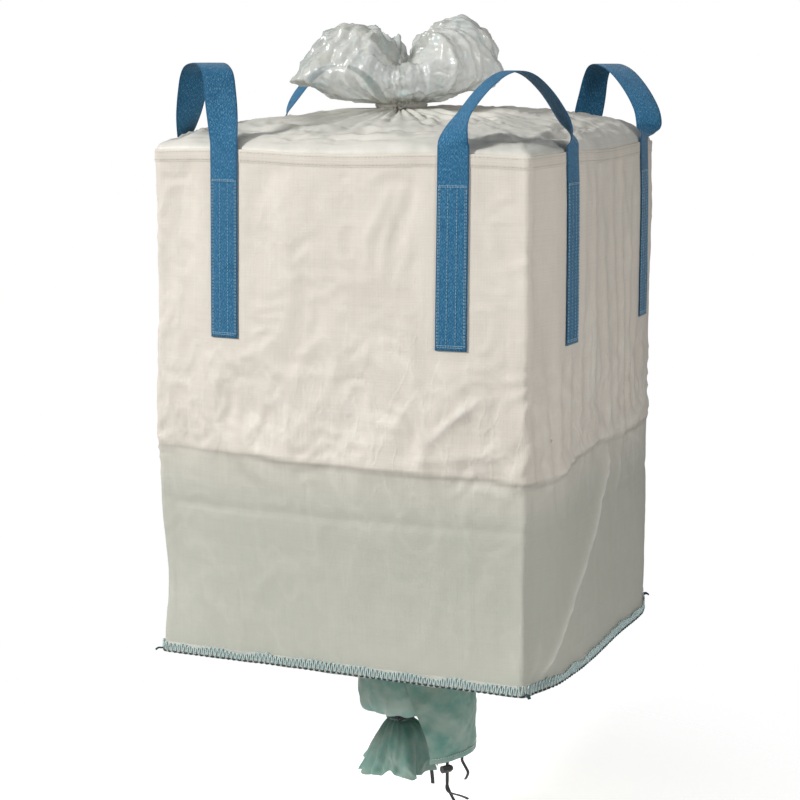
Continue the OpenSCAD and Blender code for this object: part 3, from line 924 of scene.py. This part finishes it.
def makeBaseSeam():
    offs, ups = np.array(baseSeam["profile"]).T[..., None]
    points = wall(sides[None], alongs[None], np.maximum(ups, 0), offs)
    points[..., 2] += np.minimum(ups, 0) + 0.0012 * ripple(points, 0.09, 71) * (ups < 0.005)
    lip = gridSheet("base_seam_lip", points, lipWeave,
                    stacked(runsClosed[None], np.linspace(0, 0.055, len(offs))[:, None]), closed=True, flip=True)
    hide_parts("base_seam")
    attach(lip, "bag")
    4 * sideRun

    turns = int(4 * sideRun / baseSeam["zigzag"])
    places = np.linspace(0, 4 * sideRun, turns * 4, endpoint=False)
    source = np.random.default_rng(17)
    phase = np.arange(turns * 4) % 4
    share = np.choose(phase, [0.0, 0.85, 1.0, 0.12]) + source.normal(0, 0.08, len(places))
    share *= 1 + 0.2 * ripple(places[:, None] * np.ones(3), 0.2, 73)
    up = baseSeam["low"] + (baseSeam["high"] - baseSeam["low"]) * share
    number = (places // sideRun).astype(int)
    along = places % sideRun - flatHalf
    line = wall(number, along, np.maximum(up, 0.0005), 0.0052)
    line[:, 2] += np.minimum(up, 0)
    lifts = wallOut(number, along, np.maximum(up, 0.005))
    thread = threadTube("base_overlock_thread", line, lifts, baseSeam["thread"], aquaThread, 5)
    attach(thread, "bag")

    (sideA, alongA), (sideB, alongB) = stitchPlaces(baseSeam["dash"], baseSeam["dashGap"])
    starts = wall(sideA, alongA, 0.0, 0.0046) - (0, 0, baseSeam["dashDrop"])
    ends = wall(sideB, alongB, 0.0, 0.0046) - (0, 0, baseSeam["dashDrop"])
    lifts = unit(wallOut(sideA, alongA, np.full(len(sideA), 0.005)) - (0, 0, 0.6))
    chain = stitchRow("base_chain_stitches", starts, ends, lifts, baseSeam["dashThread"], darkThread)
    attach(chain, "bag")


makeBaseSeam()


def makeSeamTails():
    # loose chain ends left at the four corners of the seam
    for index, name in enumerate(cornerNames):
        corner = wall(index, flatHalf + cornerArc / 2, 0.0, 0.003)
        out = unit(corner * (1, 1, 0))
        line = smoothLine([corner - out * 0.006, corner + out * 0.006, corner + out * 0.014 + (0, 0, 0.001),
                           corner + out * 0.021 + (0, 0, -0.003)], 5)
        piece = flatStrip("seam_tail_" + name, line, (-out[1], out[0], 0.3), 0.0075, 0.004, darkThread)
        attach(piece, "bag")
        if index == 0:
            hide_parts("seam_tails")


makeSeamTails()
print("base made")

skirt = dict(
    neckRadius=0.056,
    neckLow=-0.009,     # the upright stretch at the tie, from the tie's middle
    neckPleats=0.003,
    # the collar above the tie: up, and how much wider than the neck
    collar=[(0.006, 0.0), (0.012, 0.001), (0.017, 0.004), (0.022, 0.010), (0.026, 0.014)],
    cut=[0.006, 0.012, 0.018, 0.026, 0.032],    # the collar's place on the flat cloth
    run=0.46,           # from rim to neck along the cloth
    pleats=34,
    rows=66,
    steepness=0.44,
    fuller=0.020,       # how much higher it stands towards one side
    fullerWay=0.75,     # and which way that is, in radians from the right
)


def makeSkirt():
    start = wall(sides, alongs, bodyHeight, -0.0036)
    angle = np.arctan2(start[:, 1], start[:, 0])
    pleat = folds(angle, skirt["pleats"], 41) * 0.7 + folds(angle, 15, 42) * 0.5
    share = np.linspace(0, 1, skirt["rows"])[:, None] ** 1.35
    radius = skirt["neckRadius"] + skirt["neckPleats"] * pleat
    neck = roundSpots(radius, angle, 0.0, neckSpot.x)[..., :2]
    plan = start[None, :, :2] + (neck - start[:, :2])[None] * share[..., None]
    top = neckSpot.z + skirt["neckLow"]
    climb = share ** (skirt["steepness"] + 0.06 * folds(angle, 4, 45)[None])
    height = start[None, :, 2] + (top - start[None, :, 2]) * climb
    points = np.concatenate([plan, height[..., None]], -1)
    spot = stacked(runs, share * 0.5, 0.0)
    slack = np.sin(math.pi * np.clip(share, 0, 1) ** 0.6)
    points[..., 2] += 0.0095 * (share ** 1.4) * (1 - 0.5 * share ** 8) * pleat[None]
    points[..., 2] += slack * (0.007 * crumple(points, 0.19, 43) + 0.0035 * crumple(points, 0.08, 44))
    rolls = crumple(spot * (0.35, 2.2, 1), 0.16, 46) * np.exp(-((share - 0.12) / 0.12) ** 2)
    points[..., 2] += 0.008 * rolls * slack
    fuller = np.maximum(np.cos(angle - skirt["fullerWay"]), 0) ** 1.5
    points[..., 2] += skirt["fuller"] * fuller[None] * np.sin(math.pi * share ** 0.75) ** 0.8
    ceiling = top + 0.003 + 0.018 * fuller[None] * easeIn(0.93 - share, 0, 0.25)
    points[..., 2] = np.minimum(points[..., 2], ceiling)
    collarRows = [
        roundSpots(radius + grow + grow * 0.35 * folds(angle, 22, 47), angle,
                   top + lift + grow * 0.3 * folds(angle, 12, 48), neckSpot.x)
        for lift, grow in skirt["collar"]]
    points = np.concatenate([points, np.array(collarRows)])
    along = np.concatenate([share[:, 0] * skirt["run"], skirt["run"] + np.array(skirt["cut"])])[:, None]
    piece = gridSheet("top_skirt_cloth", points, skirtWeave, stacked(runsClosed[None], along), closed=True)
    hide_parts("top_skirt")
    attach(piece, "bag")
    4 * sideRun


makeSkirt()


# windings: radius inside them, turns round, rise from the first to the last, the tape's width and thickness
ties = dict(
    stepsPerTurn=64,
    knotAt=-1.2,            # radians from the right
    neck_tie_cord=dict(radius=0.0585, turns=2.6, pitch=0.005, width=0.0045, thickness=0.0018),
    spout_tie_winding=dict(radius=0.0345, turns=3.3, pitch=0.006, width=0.005, thickness=0.0016),
)


def windTie(name, node, centre, finish):
    # a tape wound round a neck, its ends tucked under a flat knot
    radius, turns, pitch, width, thickness = ties[name].values()
    count = int(turns * ties["stepsPerTurn"])
    turn = np.linspace(0, turns * 2 * math.pi, count + 1) + ties["knotAt"]
    grow = radius + thickness * (0.6 + np.linspace(0, turns, count + 1) * 0.35)
    rise = (np.linspace(0, 1, count + 1) - 0.5) * pitch
    line = roundSpots(grow, turn, rise) + centre
    piece = flatStrip(name, line, (0, 0, 1), width, thickness, finish)
    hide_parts(node)
    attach(piece, "bag")
    out = roundSpots(1, ties["knotAt"], 0)
    side = np.array([-out[1], out[0], 0])
    middle = np.array(centre) + out * (radius + thickness * 3.2)
    knotLine = [middle - side * 0.006 + (0, 0, 0.004), middle + out * 0.002 + (0, 0, 0.0055),
                middle + side * 0.006, middle + out * 0.003 - (0, 0, 0.0055),
                middle - side * 0.004 - (0, 0, 0.002), middle + out * 0.004 + side * 0.002 + (0, 0, 0.002)]
    knotLine = smoothLine(knotLine, 8)
    knot = threadTube(name + "_knot", knotLine, np.tile(out, (len(knotLine), 1)), thickness * 1.1, finish, 8)
    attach(knot, "bag")


windTie("neck_tie_cord", "neck_tie", tuple(neckSpot), whiteTape)
print("skirt made")

tuft = dict(
    view=23.0,          # degrees from the right where the profiles' turns start
    # at each turn in degrees: distance out and height above the tie
    profiles={
        0: [(0.046, 0.000), (0.056, 0.012), (0.140, 0.038), (0.205, 0.058), (0.240, 0.083), (0.226, 0.126),
            (0.203, 0.170), (0.158, 0.200), (0.108, 0.201), (0.075, 0.176), (0.055, 0.140)],
        45: [(0.046, 0.000), (0.055, 0.014), (0.115, 0.042), (0.150, 0.066), (0.168, 0.095), (0.160, 0.130),
             (0.138, 0.160), (0.105, 0.174), (0.070, 0.160), (0.045, 0.135), (0.030, 0.110)],
        75: [(0.046, 0.000), (0.055, 0.016), (0.100, 0.044), (0.122, 0.068), (0.128, 0.092), (0.116, 0.110),
             (0.090, 0.120), (0.062, 0.112), (0.040, 0.100), (0.025, 0.088), (0.016, 0.075)],
        100: [(0.046, 0.000), (0.055, 0.016), (0.098, 0.044), (0.118, 0.070), (0.124, 0.100), (0.108, 0.128),
              (0.078, 0.150), (0.048, 0.158), (0.026, 0.140), (0.014, 0.110), (0.010, 0.080)],
        130: [(0.046, 0.000), (0.055, 0.015), (0.108, 0.044), (0.138, 0.070), (0.148, 0.102), (0.138, 0.136),
              (0.114, 0.162), (0.082, 0.168), (0.050, 0.150), (0.030, 0.120), (0.020, 0.090)],
        180: [(0.046, 0.000), (0.060, 0.006), (0.140, 0.026), (0.215, 0.050), (0.268, 0.063), (0.246, 0.086),
              (0.204, 0.136), (0.164, 0.180), (0.115, 0.184), (0.075, 0.170), (0.050, 0.138)],
        225: [(0.046, 0.000), (0.055, 0.014), (0.118, 0.040), (0.155, 0.062), (0.172, 0.090), (0.165, 0.125),
              (0.140, 0.158), (0.105, 0.180), (0.070, 0.176), (0.040, 0.150), (0.025, 0.118)],
        262: [(0.046, 0.000), (0.055, 0.015), (0.098, 0.038), (0.120, 0.056), (0.126, 0.076), (0.112, 0.092),
              (0.084, 0.101), (0.055, 0.100), (0.034, 0.090), (0.020, 0.078), (0.012, 0.066)],
        290: [(0.046, 0.000), (0.055, 0.015), (0.100, 0.038), (0.124, 0.058), (0.132, 0.080), (0.120, 0.100),
              (0.094, 0.114), (0.064, 0.112), (0.040, 0.100), (0.024, 0.086), (0.015, 0.070)],
        320: [(0.046, 0.000), (0.055, 0.014), (0.120, 0.040), (0.164, 0.060), (0.182, 0.088), (0.174, 0.124),
              (0.150, 0.156), (0.112, 0.172), (0.074, 0.160), (0.048, 0.136), (0.032, 0.106)],
    },
    columns=330,
    rowsPerStep=9,
    pleats=13,
    low=-0.016,         # its lowest row, under the tie
    tall=0.2,           # the height that stays where it is when the rest is stretched down
    tieRadius=0.053,
)


def periodicBlend(angles, known, values):
    # smooth values round the circle from the ones at the known angles
    known = np.array(known, float)
    order = np.concatenate([known[-2:] - 360, known, known[:2] + 360])
    table = np.concatenate([values[-2:], values, values[:2]])
    spot = np.searchsorted(order, angles, side="right") - 1
    share = easeIn((angles - order[spot]) / (order[spot + 1] - order[spot]), 0, 1)[:, None, None]
    return table[spot] * (1 - share) + table[spot + 1] * share


def makeTuft():
    angles = np.linspace(0, 360, tuft["columns"], endpoint=False)
    lines = np.array([smoothLine(profile, tuft["rowsPerStep"]) for profile in tuft["profiles"].values()])
    shape = periodicBlend(angles, list(tuft["profiles"]), lines)      # column, row, (out, up)
    turn = np.radians(angles + tuft["view"])[:, None]
    out, up = shape[..., 0], shape[..., 1]
    up = tuft["low"] + up * (1 - tuft["low"] / tuft["tall"])
    points = roundSpots(out, turn, neckSpot.z + up, neckSpot.x)
    part = np.linspace(0, 1, points.shape[1])[None]
    grown = easeIn(part, 0.03, 0.30)
    ways = unit(np.cross(np.gradient(points, axis=0), np.gradient(points, axis=1)))
    drift = 0.22 * ripple(points, 0.35, 81) * part
    pleat = folds(turn + drift, tuft["pleats"], 82)
    radial = 0.6 - np.abs(np.sin(turn * 8 + 1.2 * np.sin(turn * 3 + 1) + 2.2 * drift))
    fine = 0.6 - np.abs(np.sin(turn * 21 + 2.0 * np.sin(turn * 5) + 4 * drift))
    dent = 0.0035 * pleat + grown * (0.011 * radial * (1 - 0.4 * part) + 0.0035 * fine)
    dent = dent + grown * (
        0.0095 * crumple(points * (0.8, 1, 1), 0.15, 84) + 0.0050 * crumple(points, 0.065, 85)
        + 0.0016 * crumple(points, 0.032, 86))
    limit = np.where(up < 0.012, 0.004, 0.03)
    points = points + ways * np.clip(dent, -limit, limit)[..., None]
    near = np.hypot(points[..., 0] - neckSpot.x, points[..., 1])
    tight = np.where(up < 0.010, np.minimum(1, tuft["tieRadius"] / np.maximum(near, 1e-6)), 1)
    points[..., 0] = neckSpot.x + (points[..., 0] - neckSpot.x) * tight
    points[..., 1] = points[..., 1] * tight
    points = points.transpose(1, 0, 2)
    around = np.append(np.radians(angles), 2 * math.pi) * 0.2
    piece = gridSheet("fill_tuft_film", points, film,
                      stacked(around[None], np.linspace(0, 0.34, len(points))[:, None]), closed=True)
    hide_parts("fill_tuft")
    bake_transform(piece)


makeTuft()
print("tuft made")


liner = dict(
    columns=26,
    cornerColumns=4,
    rows=34,
    gap=0.007,          # between the film and the outside of the cloth
    spoutRadius=0.128,
    spoutDepth=0.14,
    floorRadius=0.13,
    neckRadius=0.07,
    neckDrop=0.045,     # its upper edge under the tie
    long=2.0,
)


def makeLiner():
    lineSides, lineAlongs = roundColumns(liner["columns"], liner["cornerColumns"])
    heights = np.linspace(0.004, bodyHeight - 0.012, liner["rows"])[:, None]
    side = wall(lineSides[None], lineAlongs[None], heights, -liner["gap"])
    edge, rim = side[0], side[-1]
    angle = np.arctan2(edge[:, 1], edge[:, 0])
    away = np.hypot(edge[:, 0], edge[:, 1]) - liner["floorRadius"]
    floorRows = [roundSpots(liner["floorRadius"] + away * share, angle, edge[:, 2] + 0.004)
                 for share in np.linspace(0.96, 0, 10)]
    tube = [roundSpots(liner["spoutRadius"], angle, edge[:, 2] - drop)
            for drop in np.linspace(liner["spoutDepth"], 0.0, 8)]
    neck = roundSpots(liner["neckRadius"], np.arctan2(rim[:, 1], rim[:, 0]), neckSpot.z - liner["neckDrop"],
                      neckSpot.x)
    roof = [rim + (neck - rim) * stacked(share, share, share ** 0.6) for share in np.linspace(0.06, 1, 14)]
    points = np.concatenate([tube, floorRows[::-1], side, roof])
    lineRuns = np.append(runOf(lineSides, lineAlongs), 4 * sideRun)
    piece = gridSheet("liner_film_bag", points, film,
                      stacked(lineRuns[None], np.linspace(0, liner["long"], len(points))[:, None]), closed=True)
    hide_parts("liner")
    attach(piece, "bag")
    2 * sideRun


makeLiner()
print("liner made")

loops = dict(
    width=0.070,
    thickness=0.0025,
    places=[(-0.260, 0.281), (-0.27, 0.27), (-0.27, 0.27), (-0.27, 0.262)],  # front, right, back, left
    drop=0.415,
    proud=0.0014,       # how far the legs stand off the cloth
    legTop=0.012,
    step=0.006,
    archSteps=14,
    # each loop between its two feet: place along the line joining them (-1 to 1), metres outward,
    # share of the height
    front_right=[(-0.99, 0, 0.12), (-0.90, 0, 0.33), (-0.72, 0, 0.54), (-0.48, 0, 0.75), (-0.22, 0, 0.90),
                 (0.02, 0, 0.94), (0.26, 0, 0.88), (0.52, 0, 0.70), (0.74, 0, 0.47), (0.90, 0, 0.25),
                 (0.98, 0, 0.1)],
    back_right=[(-1.01, 0.004, 0.09), (-1.03, 0.009, 0.22), (-0.88, 0.012, 0.42), (-0.55, 0.010, 0.68),
                (-0.15, 0.006, 0.90), (0.20, 0, 1.0), (0.50, 0, 0.98), (0.68, 0, 0.82), (0.82, 0, 0.5),
                (0.96, 0, 0.2)],
    back_left=[(-1.0, 0, 0.1), (-0.95, 0, 0.3), (-0.80, 0, 0.55), (-0.55, 0, 0.80), (-0.25, 0, 0.95),
               (0, 0, 0.98), (0.25, 0, 0.95), (0.52, 0, 0.80), (0.76, 0, 0.60), (0.98, 0, 0.32), (1.03, 0, 0.1)],
    front_left=[(-0.94, 0, 0.1), (-0.80, 0, 0.33), (-0.60, 0, 0.63), (-0.42, 0, 0.87), (-0.18, 0, 0.99),
                (0.2, 0, 1.03), (0.52, 0, 1.01), (0.76, 0, 0.90), (0.86, 0, 0.66), (0.95, 0, 0.36),
                (0.99, 0, 0.12)],
    # the share of each end over which the webbing turns from the leg's way to the arch's
    turning=dict(front_right=(0.23, 0.23), back_right=(0.16, 0.30), back_left=(0.25, 0.25),
                 front_left=(0.3, 0.42)),
)


def legLine(side, place, top):
    heights = np.arange(bodyHeight - loops["drop"], top, loops["step"])
    lift = loops["proud"] + loops["thickness"] / 2
    half = loops["width"] / 2
    left, middle, right = (wall(side, spot, np.minimum(heights, bodyHeight), lift)
                           for spot in (place - half, place, place + half))
    middle[:, 2] += np.maximum(heights - bodyHeight, 0)
    middle = middle * 0.4 + (left + right) * 0.3 * (1, 1, 0) + middle * (0, 0, 0.6)
    return middle, unit((right - left) * (1, 1, 0))


def makeLoop(number, corner):
    after = (number + 1) % 4
    upA, acrossA = legLine(number, loops["places"][number][1], bodyHeight + loops["legTop"])
    upB, acrossB = legLine(after, loops["places"][after][0], bodyHeight + loops["legTop"])
    footA, footB = upA[-1], upB[-1]
    middle = (footA + footB) / 2
    half = (footB - footA) / 2
    chord = unit(half * (1, 1, 0))
    out = np.array([chord[1], -chord[0], 0.0])
    height = loops["thickness"] / 2 - footA[2]
    spots = np.array([(-1, 0, 0)] + loops[corner] + [(1, 0, 0)])
    drawn = middle + spots[:, :1] * half + spots[:, 1:2] * out + spots[:, 2:] * height * np.array([0, 0, 1])
    # a point of each leg leads the line in and out and is cut off again
    drawn = np.concatenate([upA[-4:-3], drawn, upB[-4:-3]])
    arch = smoothLine(drawn, loops["archSteps"])[loops["archSteps"] + 1:-loops["archSteps"] - 1]
    run = np.linspace(0, 1, len(arch))
    fromA, fromB = loops["turning"][corner]
    share = (easeIn(run, 0, fromA) * easeIn(1 - run, 0, fromB))[:, None]
    startSign = 1 if acrossA[-1] @ out > 0 else -1
    endSign = 1 if -acrossB[-1] @ out > 0 else -1
    foot = np.where((run < 0.5)[:, None], acrossA[-1] * startSign, -acrossB[-1] * endSign)
    width = unit(foot * (1 - share) + out * share)
    line = np.concatenate([upA, arch, upB[::-1]])
    across = np.concatenate([acrossA * startSign, width, -acrossB[::-1] * endSign])
    piece = flatStrip("loop_" + corner + "_webbing", line, across, loops["width"], loops["thickness"],
                      blueWebbing)
    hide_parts("loop_legs_" + corner, "loop_arch_" + corner)
    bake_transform(piece)


for number, corner in enumerate(cornerNames):
    makeLoop(number, corner)
print("loops made")

legStitches = dict(
    stitch=0.0048,
    gap=0.0022,
    thread=0.00075,
    inset=0.005,
    bars=(0.066, 0.069, 0.404, 0.408),      # rows across the leg, below the rim
    columns=(-0.0305, -0.0275, -0.010, 0.010, 0.0275, 0.0305),
)


def makeLegStitches():
    starts, ends, lifts = [], [], []
    reach = loops["width"] / 2 - legStitches["inset"]
    lift = loops["proud"] + loops["thickness"] + 0.0002

    def add(side, startPlace, startUp, endPlace, endUp):
        starts.append(wall(side, startPlace, startUp, lift))
        ends.append(wall(side, endPlace, endUp, lift))
        lifts.append(wallOut(side, startPlace, startUp))

    stitch, gap = legStitches["stitch"], legStitches["gap"]
    first = np.arange(-reach, reach - stitch, stitch + gap * 0.4)
    ups = np.arange(bodyHeight - loops["drop"] + 0.008, bodyHeight - 0.070, stitch + gap)
    for side in range(4):
        for place in loops["places"][side]:
            for drop in legStitches["bars"]:
                up = np.full(len(first), bodyHeight - drop)
                add(side, place + first, up, place + first + stitch, up)
            for column in legStitches["columns"]:
                where = np.full(len(ups), place + column)
                add(side, where, ups, where, ups + stitch)
    seam = stitchRow("loop_leg_stitches", np.concatenate(starts), np.concatenate(ends), np.concatenate(lifts),
                     legStitches["thread"], paleThread)
    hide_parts("loop_stitching")
    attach(seam, "bag")


makeLegStitches()
print("leg stitches made")

spout = dict(
    # depth below the base, radius and sideways place of each ring down to the tie
    rings=[(0.000, 0.1405, 0.000), (0.060, 0.140, 0.000), (0.130, 0.139, 0.000), (0.178, 0.133, -0.004),
           (0.205, 0.118, -0.012), (0.222, 0.092, -0.024), (0.233, 0.060, -0.032), (0.240, 0.038, -0.036),
           (0.252, 0.033, -0.037)],
    flare=[(0.245, 0.0310, 0.008), (0.255, 0.0290, 0.008), (0.264, 0.040, 0.010), (0.280, 0.053, 0.013),
           (0.303, 0.063, 0.013), (0.330, 0.071, 0.011), (0.357, 0.079, 0.009), (0.380, 0.086, 0.008)],
    columns=200,
    flareColumns=240,
    pleats=19,
    clothRadius=0.14,
    widest=0.1435,      # inside the cover
    ringStitches=90,
    ringRadius=0.148,
    ringThread=0.0011,
)


def makeSpout():
    angle = np.linspace(0, 2 * math.pi, spout["columns"], endpoint=False)
    rings = smoothLine(spout["rings"], 7)
    depth, radius, middle = rings[:, 0, None], rings[:, 1, None], rings[:, 2, None]
    gather = easeIn(depth, 0.11, 0.235)
    pleat = folds(angle, spout["pleats"], 91)[None] * 0.7 + folds(angle, 9, 92)[None] * 0.5
    spot = roundSpots(radius, angle, -depth)
    sharp = 1 - 2 * np.abs(np.sin(angle * 8 + 0.8 * np.sin(angle * 3 + 1)))[None]
    out = gather * (0.0055 * pleat + 0.004 * sharp) * np.clip(radius / 0.09, 0.35, 1)
    wrinkles = 0.0025 * ripple(spot, 0.12, 93) + 0.003 * crumple(spot, 0.10, 94)
    out += (1 - gather) * wrinkles * easeIn(depth, 0, 0.05)
    sag = 0.006 * folds(angle, 5, 95)[None] * easeIn(depth, 0.12, 0.2) * (1 - easeIn(depth, 0.21, 0.238))
    height = baseZ - depth + sag - basePanel["sag"] * (1 - easeIn(depth, 0, 0.03))
    points = roundSpots(np.minimum(radius + out, spout["widest"]), angle, height, middle)
    around = np.append(angle, 2 * math.pi)[None] * spout["clothRadius"]
    piece = gridSheet("spout_cloth", points[::-1].copy(), spoutShadedWeave, stacked(around, depth[::-1]), closed=True)
    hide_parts("discharge_spout")
    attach(piece, "bag")

    # the ring of stitches that joins the spout to the base
    count = spout["ringStitches"]
    turn = np.arange(count) * 2 * math.pi / count
    step = 2 * math.pi / count * 0.62
    level = baseZ - basePanel["sag"] - 0.0008
    starts = roundSpots(spout["ringRadius"], turn, level)
    ends = roundSpots(spout["ringRadius"], turn + step, level)
    seam = stitchRow("spout_ring_stitches", starts, ends, np.tile((0.0, 0.0, -1.0), (count, 1)),
                     spout["ringThread"], aquaThread)
    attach(seam, "bag")


makeSpout()
windTie("spout_tie_winding", "spout_tie", (spoutTieSpot.x + 0.008, spoutTieSpot.y, spoutTieSpot.z), charcoalTape)


def makeFlare():
    angle = np.linspace(0, 2 * math.pi, spout["flareColumns"], endpoint=False)
    rings = smoothLine(spout["flare"], 8)
    depth, radius, middle = rings[:, 0, None], rings[:, 1, None], rings[:, 2, None]
    opened = easeIn(depth, 0.255, 0.380)
    big = folds(angle, 6, 101)[None] * 0.6 + np.sin(angle * 5 + 0.6)[None] * 0.55
    fine = folds(angle, 15, 102)[None]
    spot = roundSpots(radius, angle, -depth)
    out = opened * (0.015 * big + 0.005 * fine) + (1 - opened) * 0.0022 * fine
    reach = radius + out + opened * 0.004 * crumple(spot, 0.07, 103)
    scallop = opened ** 2 * (0.007 * np.sin(angle * 4 + 1.1) + 0.005 * folds(angle, 11, 104))[None]
    leftward = opened * 0.012 * np.clip(-np.cos(angle - 0.35), 0, 1)[None] ** 2
    points = stacked(spoutTieSpot.x + middle + (reach + leftward) * np.cos(angle),
                     (reach + leftward * 0.4) * np.sin(angle), baseZ - depth + scallop)
    around = np.append(angle, 2 * math.pi)[None] * spout["clothRadius"]
    piece = gridSheet("spout_flare_cloth", points[::-1].copy(), spoutShadedWeave,
                      stacked(around, depth[::-1] + 0.3), closed=True)
    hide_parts("discharge_tail")
    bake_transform(piece)


makeFlare()

cover = dict(
    topRadius=0.1475,
    radius=0.150,
    drop=0.320,
    front=(-77, -53),   # where its front edge is at the base and at the hem, in degrees from the right
    back=102,
    columns=90,
    rows=70,
    hemAt=0.977,        # shares of the drop
    lowest=0.985,
    seamAt=0.958,
    hemWidth=0.015,
    hemThickness=0.0036,
    stitches=58,
    thread=0.0006,
)


def coverPoint(share, depthShare, out=0.0):
    # a place on the cover: share from its front edge to its back edge, depthShare from the base to the hem
    depth = cover["drop"] * depthShare
    start = cover["front"][0] + (cover["front"][1] - cover["front"][0]) * easeIn(depthShare, 0.25, 0.98)
    angle = np.radians(start + (cover["back"] - start) * share)
    radius = cover["topRadius"] + (cover["radius"] - cover["topRadius"]) * easeIn(depthShare, 0, 0.4)
    spot = roundSpots(radius, angle, -depth)
    wave = 0.0035 * np.sin(angle * 6 + 0.5) * depthShare * (1 - 0.7 * easeIn(depthShare, 0.9, 1.0))
    wrinkles = 0.0032 * crumple(spot, 0.11, 111) + 0.0014 * crumple(spot, 0.05, 112)
    wrinkles = wrinkles * easeIn(depthShare, 0, 0.2)
    slash = np.exp(-np.abs(share - 0.06 - 0.10 * np.sin(depthShare * 3)) / 0.035)
    slash = slash * 0.005 * easeIn(depthShare, 0.3, 0.6)
    calm = 1 - 0.8 * easeIn(depthShare, 0.90, 1.0)
    reach = radius + np.maximum(wave + (wrinkles + slash) * calm, -0.0025) + out
    drop = depth + 0.008 * (1 - easeIn(depthShare, 0, 0.08))
    return roundSpots(reach, angle, baseZ - drop)


def makeCover():
    share = np.linspace(0, 1, cover["columns"])[None]
    depthShare = np.linspace(0, cover["lowest"], cover["rows"])[:, None]
    points = coverPoint(share, depthShare)
    metres = stacked(share * 0.36, -depthShare * cover["drop"])
    piece = gridSheet("spout_cover_cloth", points[::-1].copy(), spoutShadedWeave, metres[::-1])
    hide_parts("spout_cover")
    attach(piece, "bag")
    line = coverPoint(np.linspace(0, 1, 80), cover["hemAt"])
    hem = flatStrip("spout_cover_hem", line, (0, 0, 1), cover["hemWidth"], cover["hemThickness"], spoutShadedWeave)
    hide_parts("cover_hem")
    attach(hem, "bag")
    first = np.linspace(0.01, 0.985, cover["stitches"])
    starts, ends = (coverPoint(place, cover["seamAt"], 0.0022) for place in (first, first + 0.011))
    lifts = unit(starts * (1, 1, 0))
    seam = stitchRow("spout_cover_stitches", starts, ends, lifts, cover["thread"], aquaThread)
    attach(seam, "bag")


makeCover()
print("spout made")

for node, finish in (("cord_lock_barrel", lockPlastic), ("cord_lock_plunger", lockPlastic),
                     ("cord_lock_spring", springSteel)):
    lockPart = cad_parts[node]
    lockPart.data.materials.clear()
    lockPart.data.materials.append(finish.material)
print("cord lock finished")

studio = dict(
    floorDrop=0.09,
    floorSize=8,
    floorFade=(0.45, 1.5),   # metres from the middle, where the floor melts into the backdrop
    key=dict(place=(-5.3, -5.9, 3.3), size=1.7, power=690),
    top=dict(place=(-0.6, -1.2, 4.2), size=2.4, power=38),
    fill=dict(place=(2.6, -1.5, -0.2), size=1.0, power=25),
    aim=(0, 0, -0.75),
    floorGlow=0.62,
    world=0.24,         # the backdrop's light; seen directly it is white
)


def makeStudio():
    floor = Finish("studio_floor", **{"Specular IOR Level": 0.1, "Emission Strength": studio["floorGlow"]})
    soft = floor.noise(floor.solidSpot(), 0.4, 2.0)
    away = floor.node("VectorMath", dict(operation="LENGTH"), {0: floor.solidSpot()}, out=1)
    floor.wear(Base_Color=floor.colours(soft, paint(240, 240, 238), paint(246, 246, 245)),
               Roughness=0.8 + 0.1 * soft, Emission_Color=paint(255, 255, 254),
               Alpha=1 - away.within(*studio["floorFade"]))
    half = studio["floorSize"] / 2
    corners = [(-half, -half, 0), (half, -half, 0), (half, half, 0), (-half, half, 0)]
    mesh = bpy.data.meshes.new("studio_floor")
    mesh.from_pydata(corners, [], [(0, 1, 2, 3)])
    piece = finishObject("studio_floor", mesh, floor, smooth=False)
    piece.location.z = cadBox[0].z - studio["floorDrop"]
    for name in ("key", "top", "fill"):
        plan = studio[name]
        data = bpy.data.lights.new(name, "AREA")
        data.shape = "DISK"
        data.size = plan["size"]
        data.energy = plan["power"]
        lamp = bpy.data.objects.new(name, data)
        lamp.location = plan["place"]
        aim = Vector(studio["aim"]) - Vector(plan["place"])
        lamp.rotation_euler = aim.to_track_quat("-Z", "Y").to_euler()
        bpy.context.collection.objects.link(lamp)
    world = bpy.data.worlds.new("studio_light")
    world.use_nodes = True
    tree = world.node_tree
    background = tree.nodes["Background"]
    background.inputs["Color"].default_value = (1, 1, 1, 1)
    seen = tree.nodes.new("ShaderNodeLightPath")
    strength = tree.nodes.new("ShaderNodeMapRange")
    strength.inputs["To Min"].default_value = studio["world"]
    strength.inputs["To Max"].default_value = 1.0
    tree.links.new(seen.outputs["Is Camera Ray"], strength.inputs["Value"])
    tree.links.new(strength.outputs["Result"], background.inputs["Strength"])
    bpy.context.scene.world = world
    bpy.context.scene.view_settings.view_transform = "Standard"


makeStudio()
print("studio made")
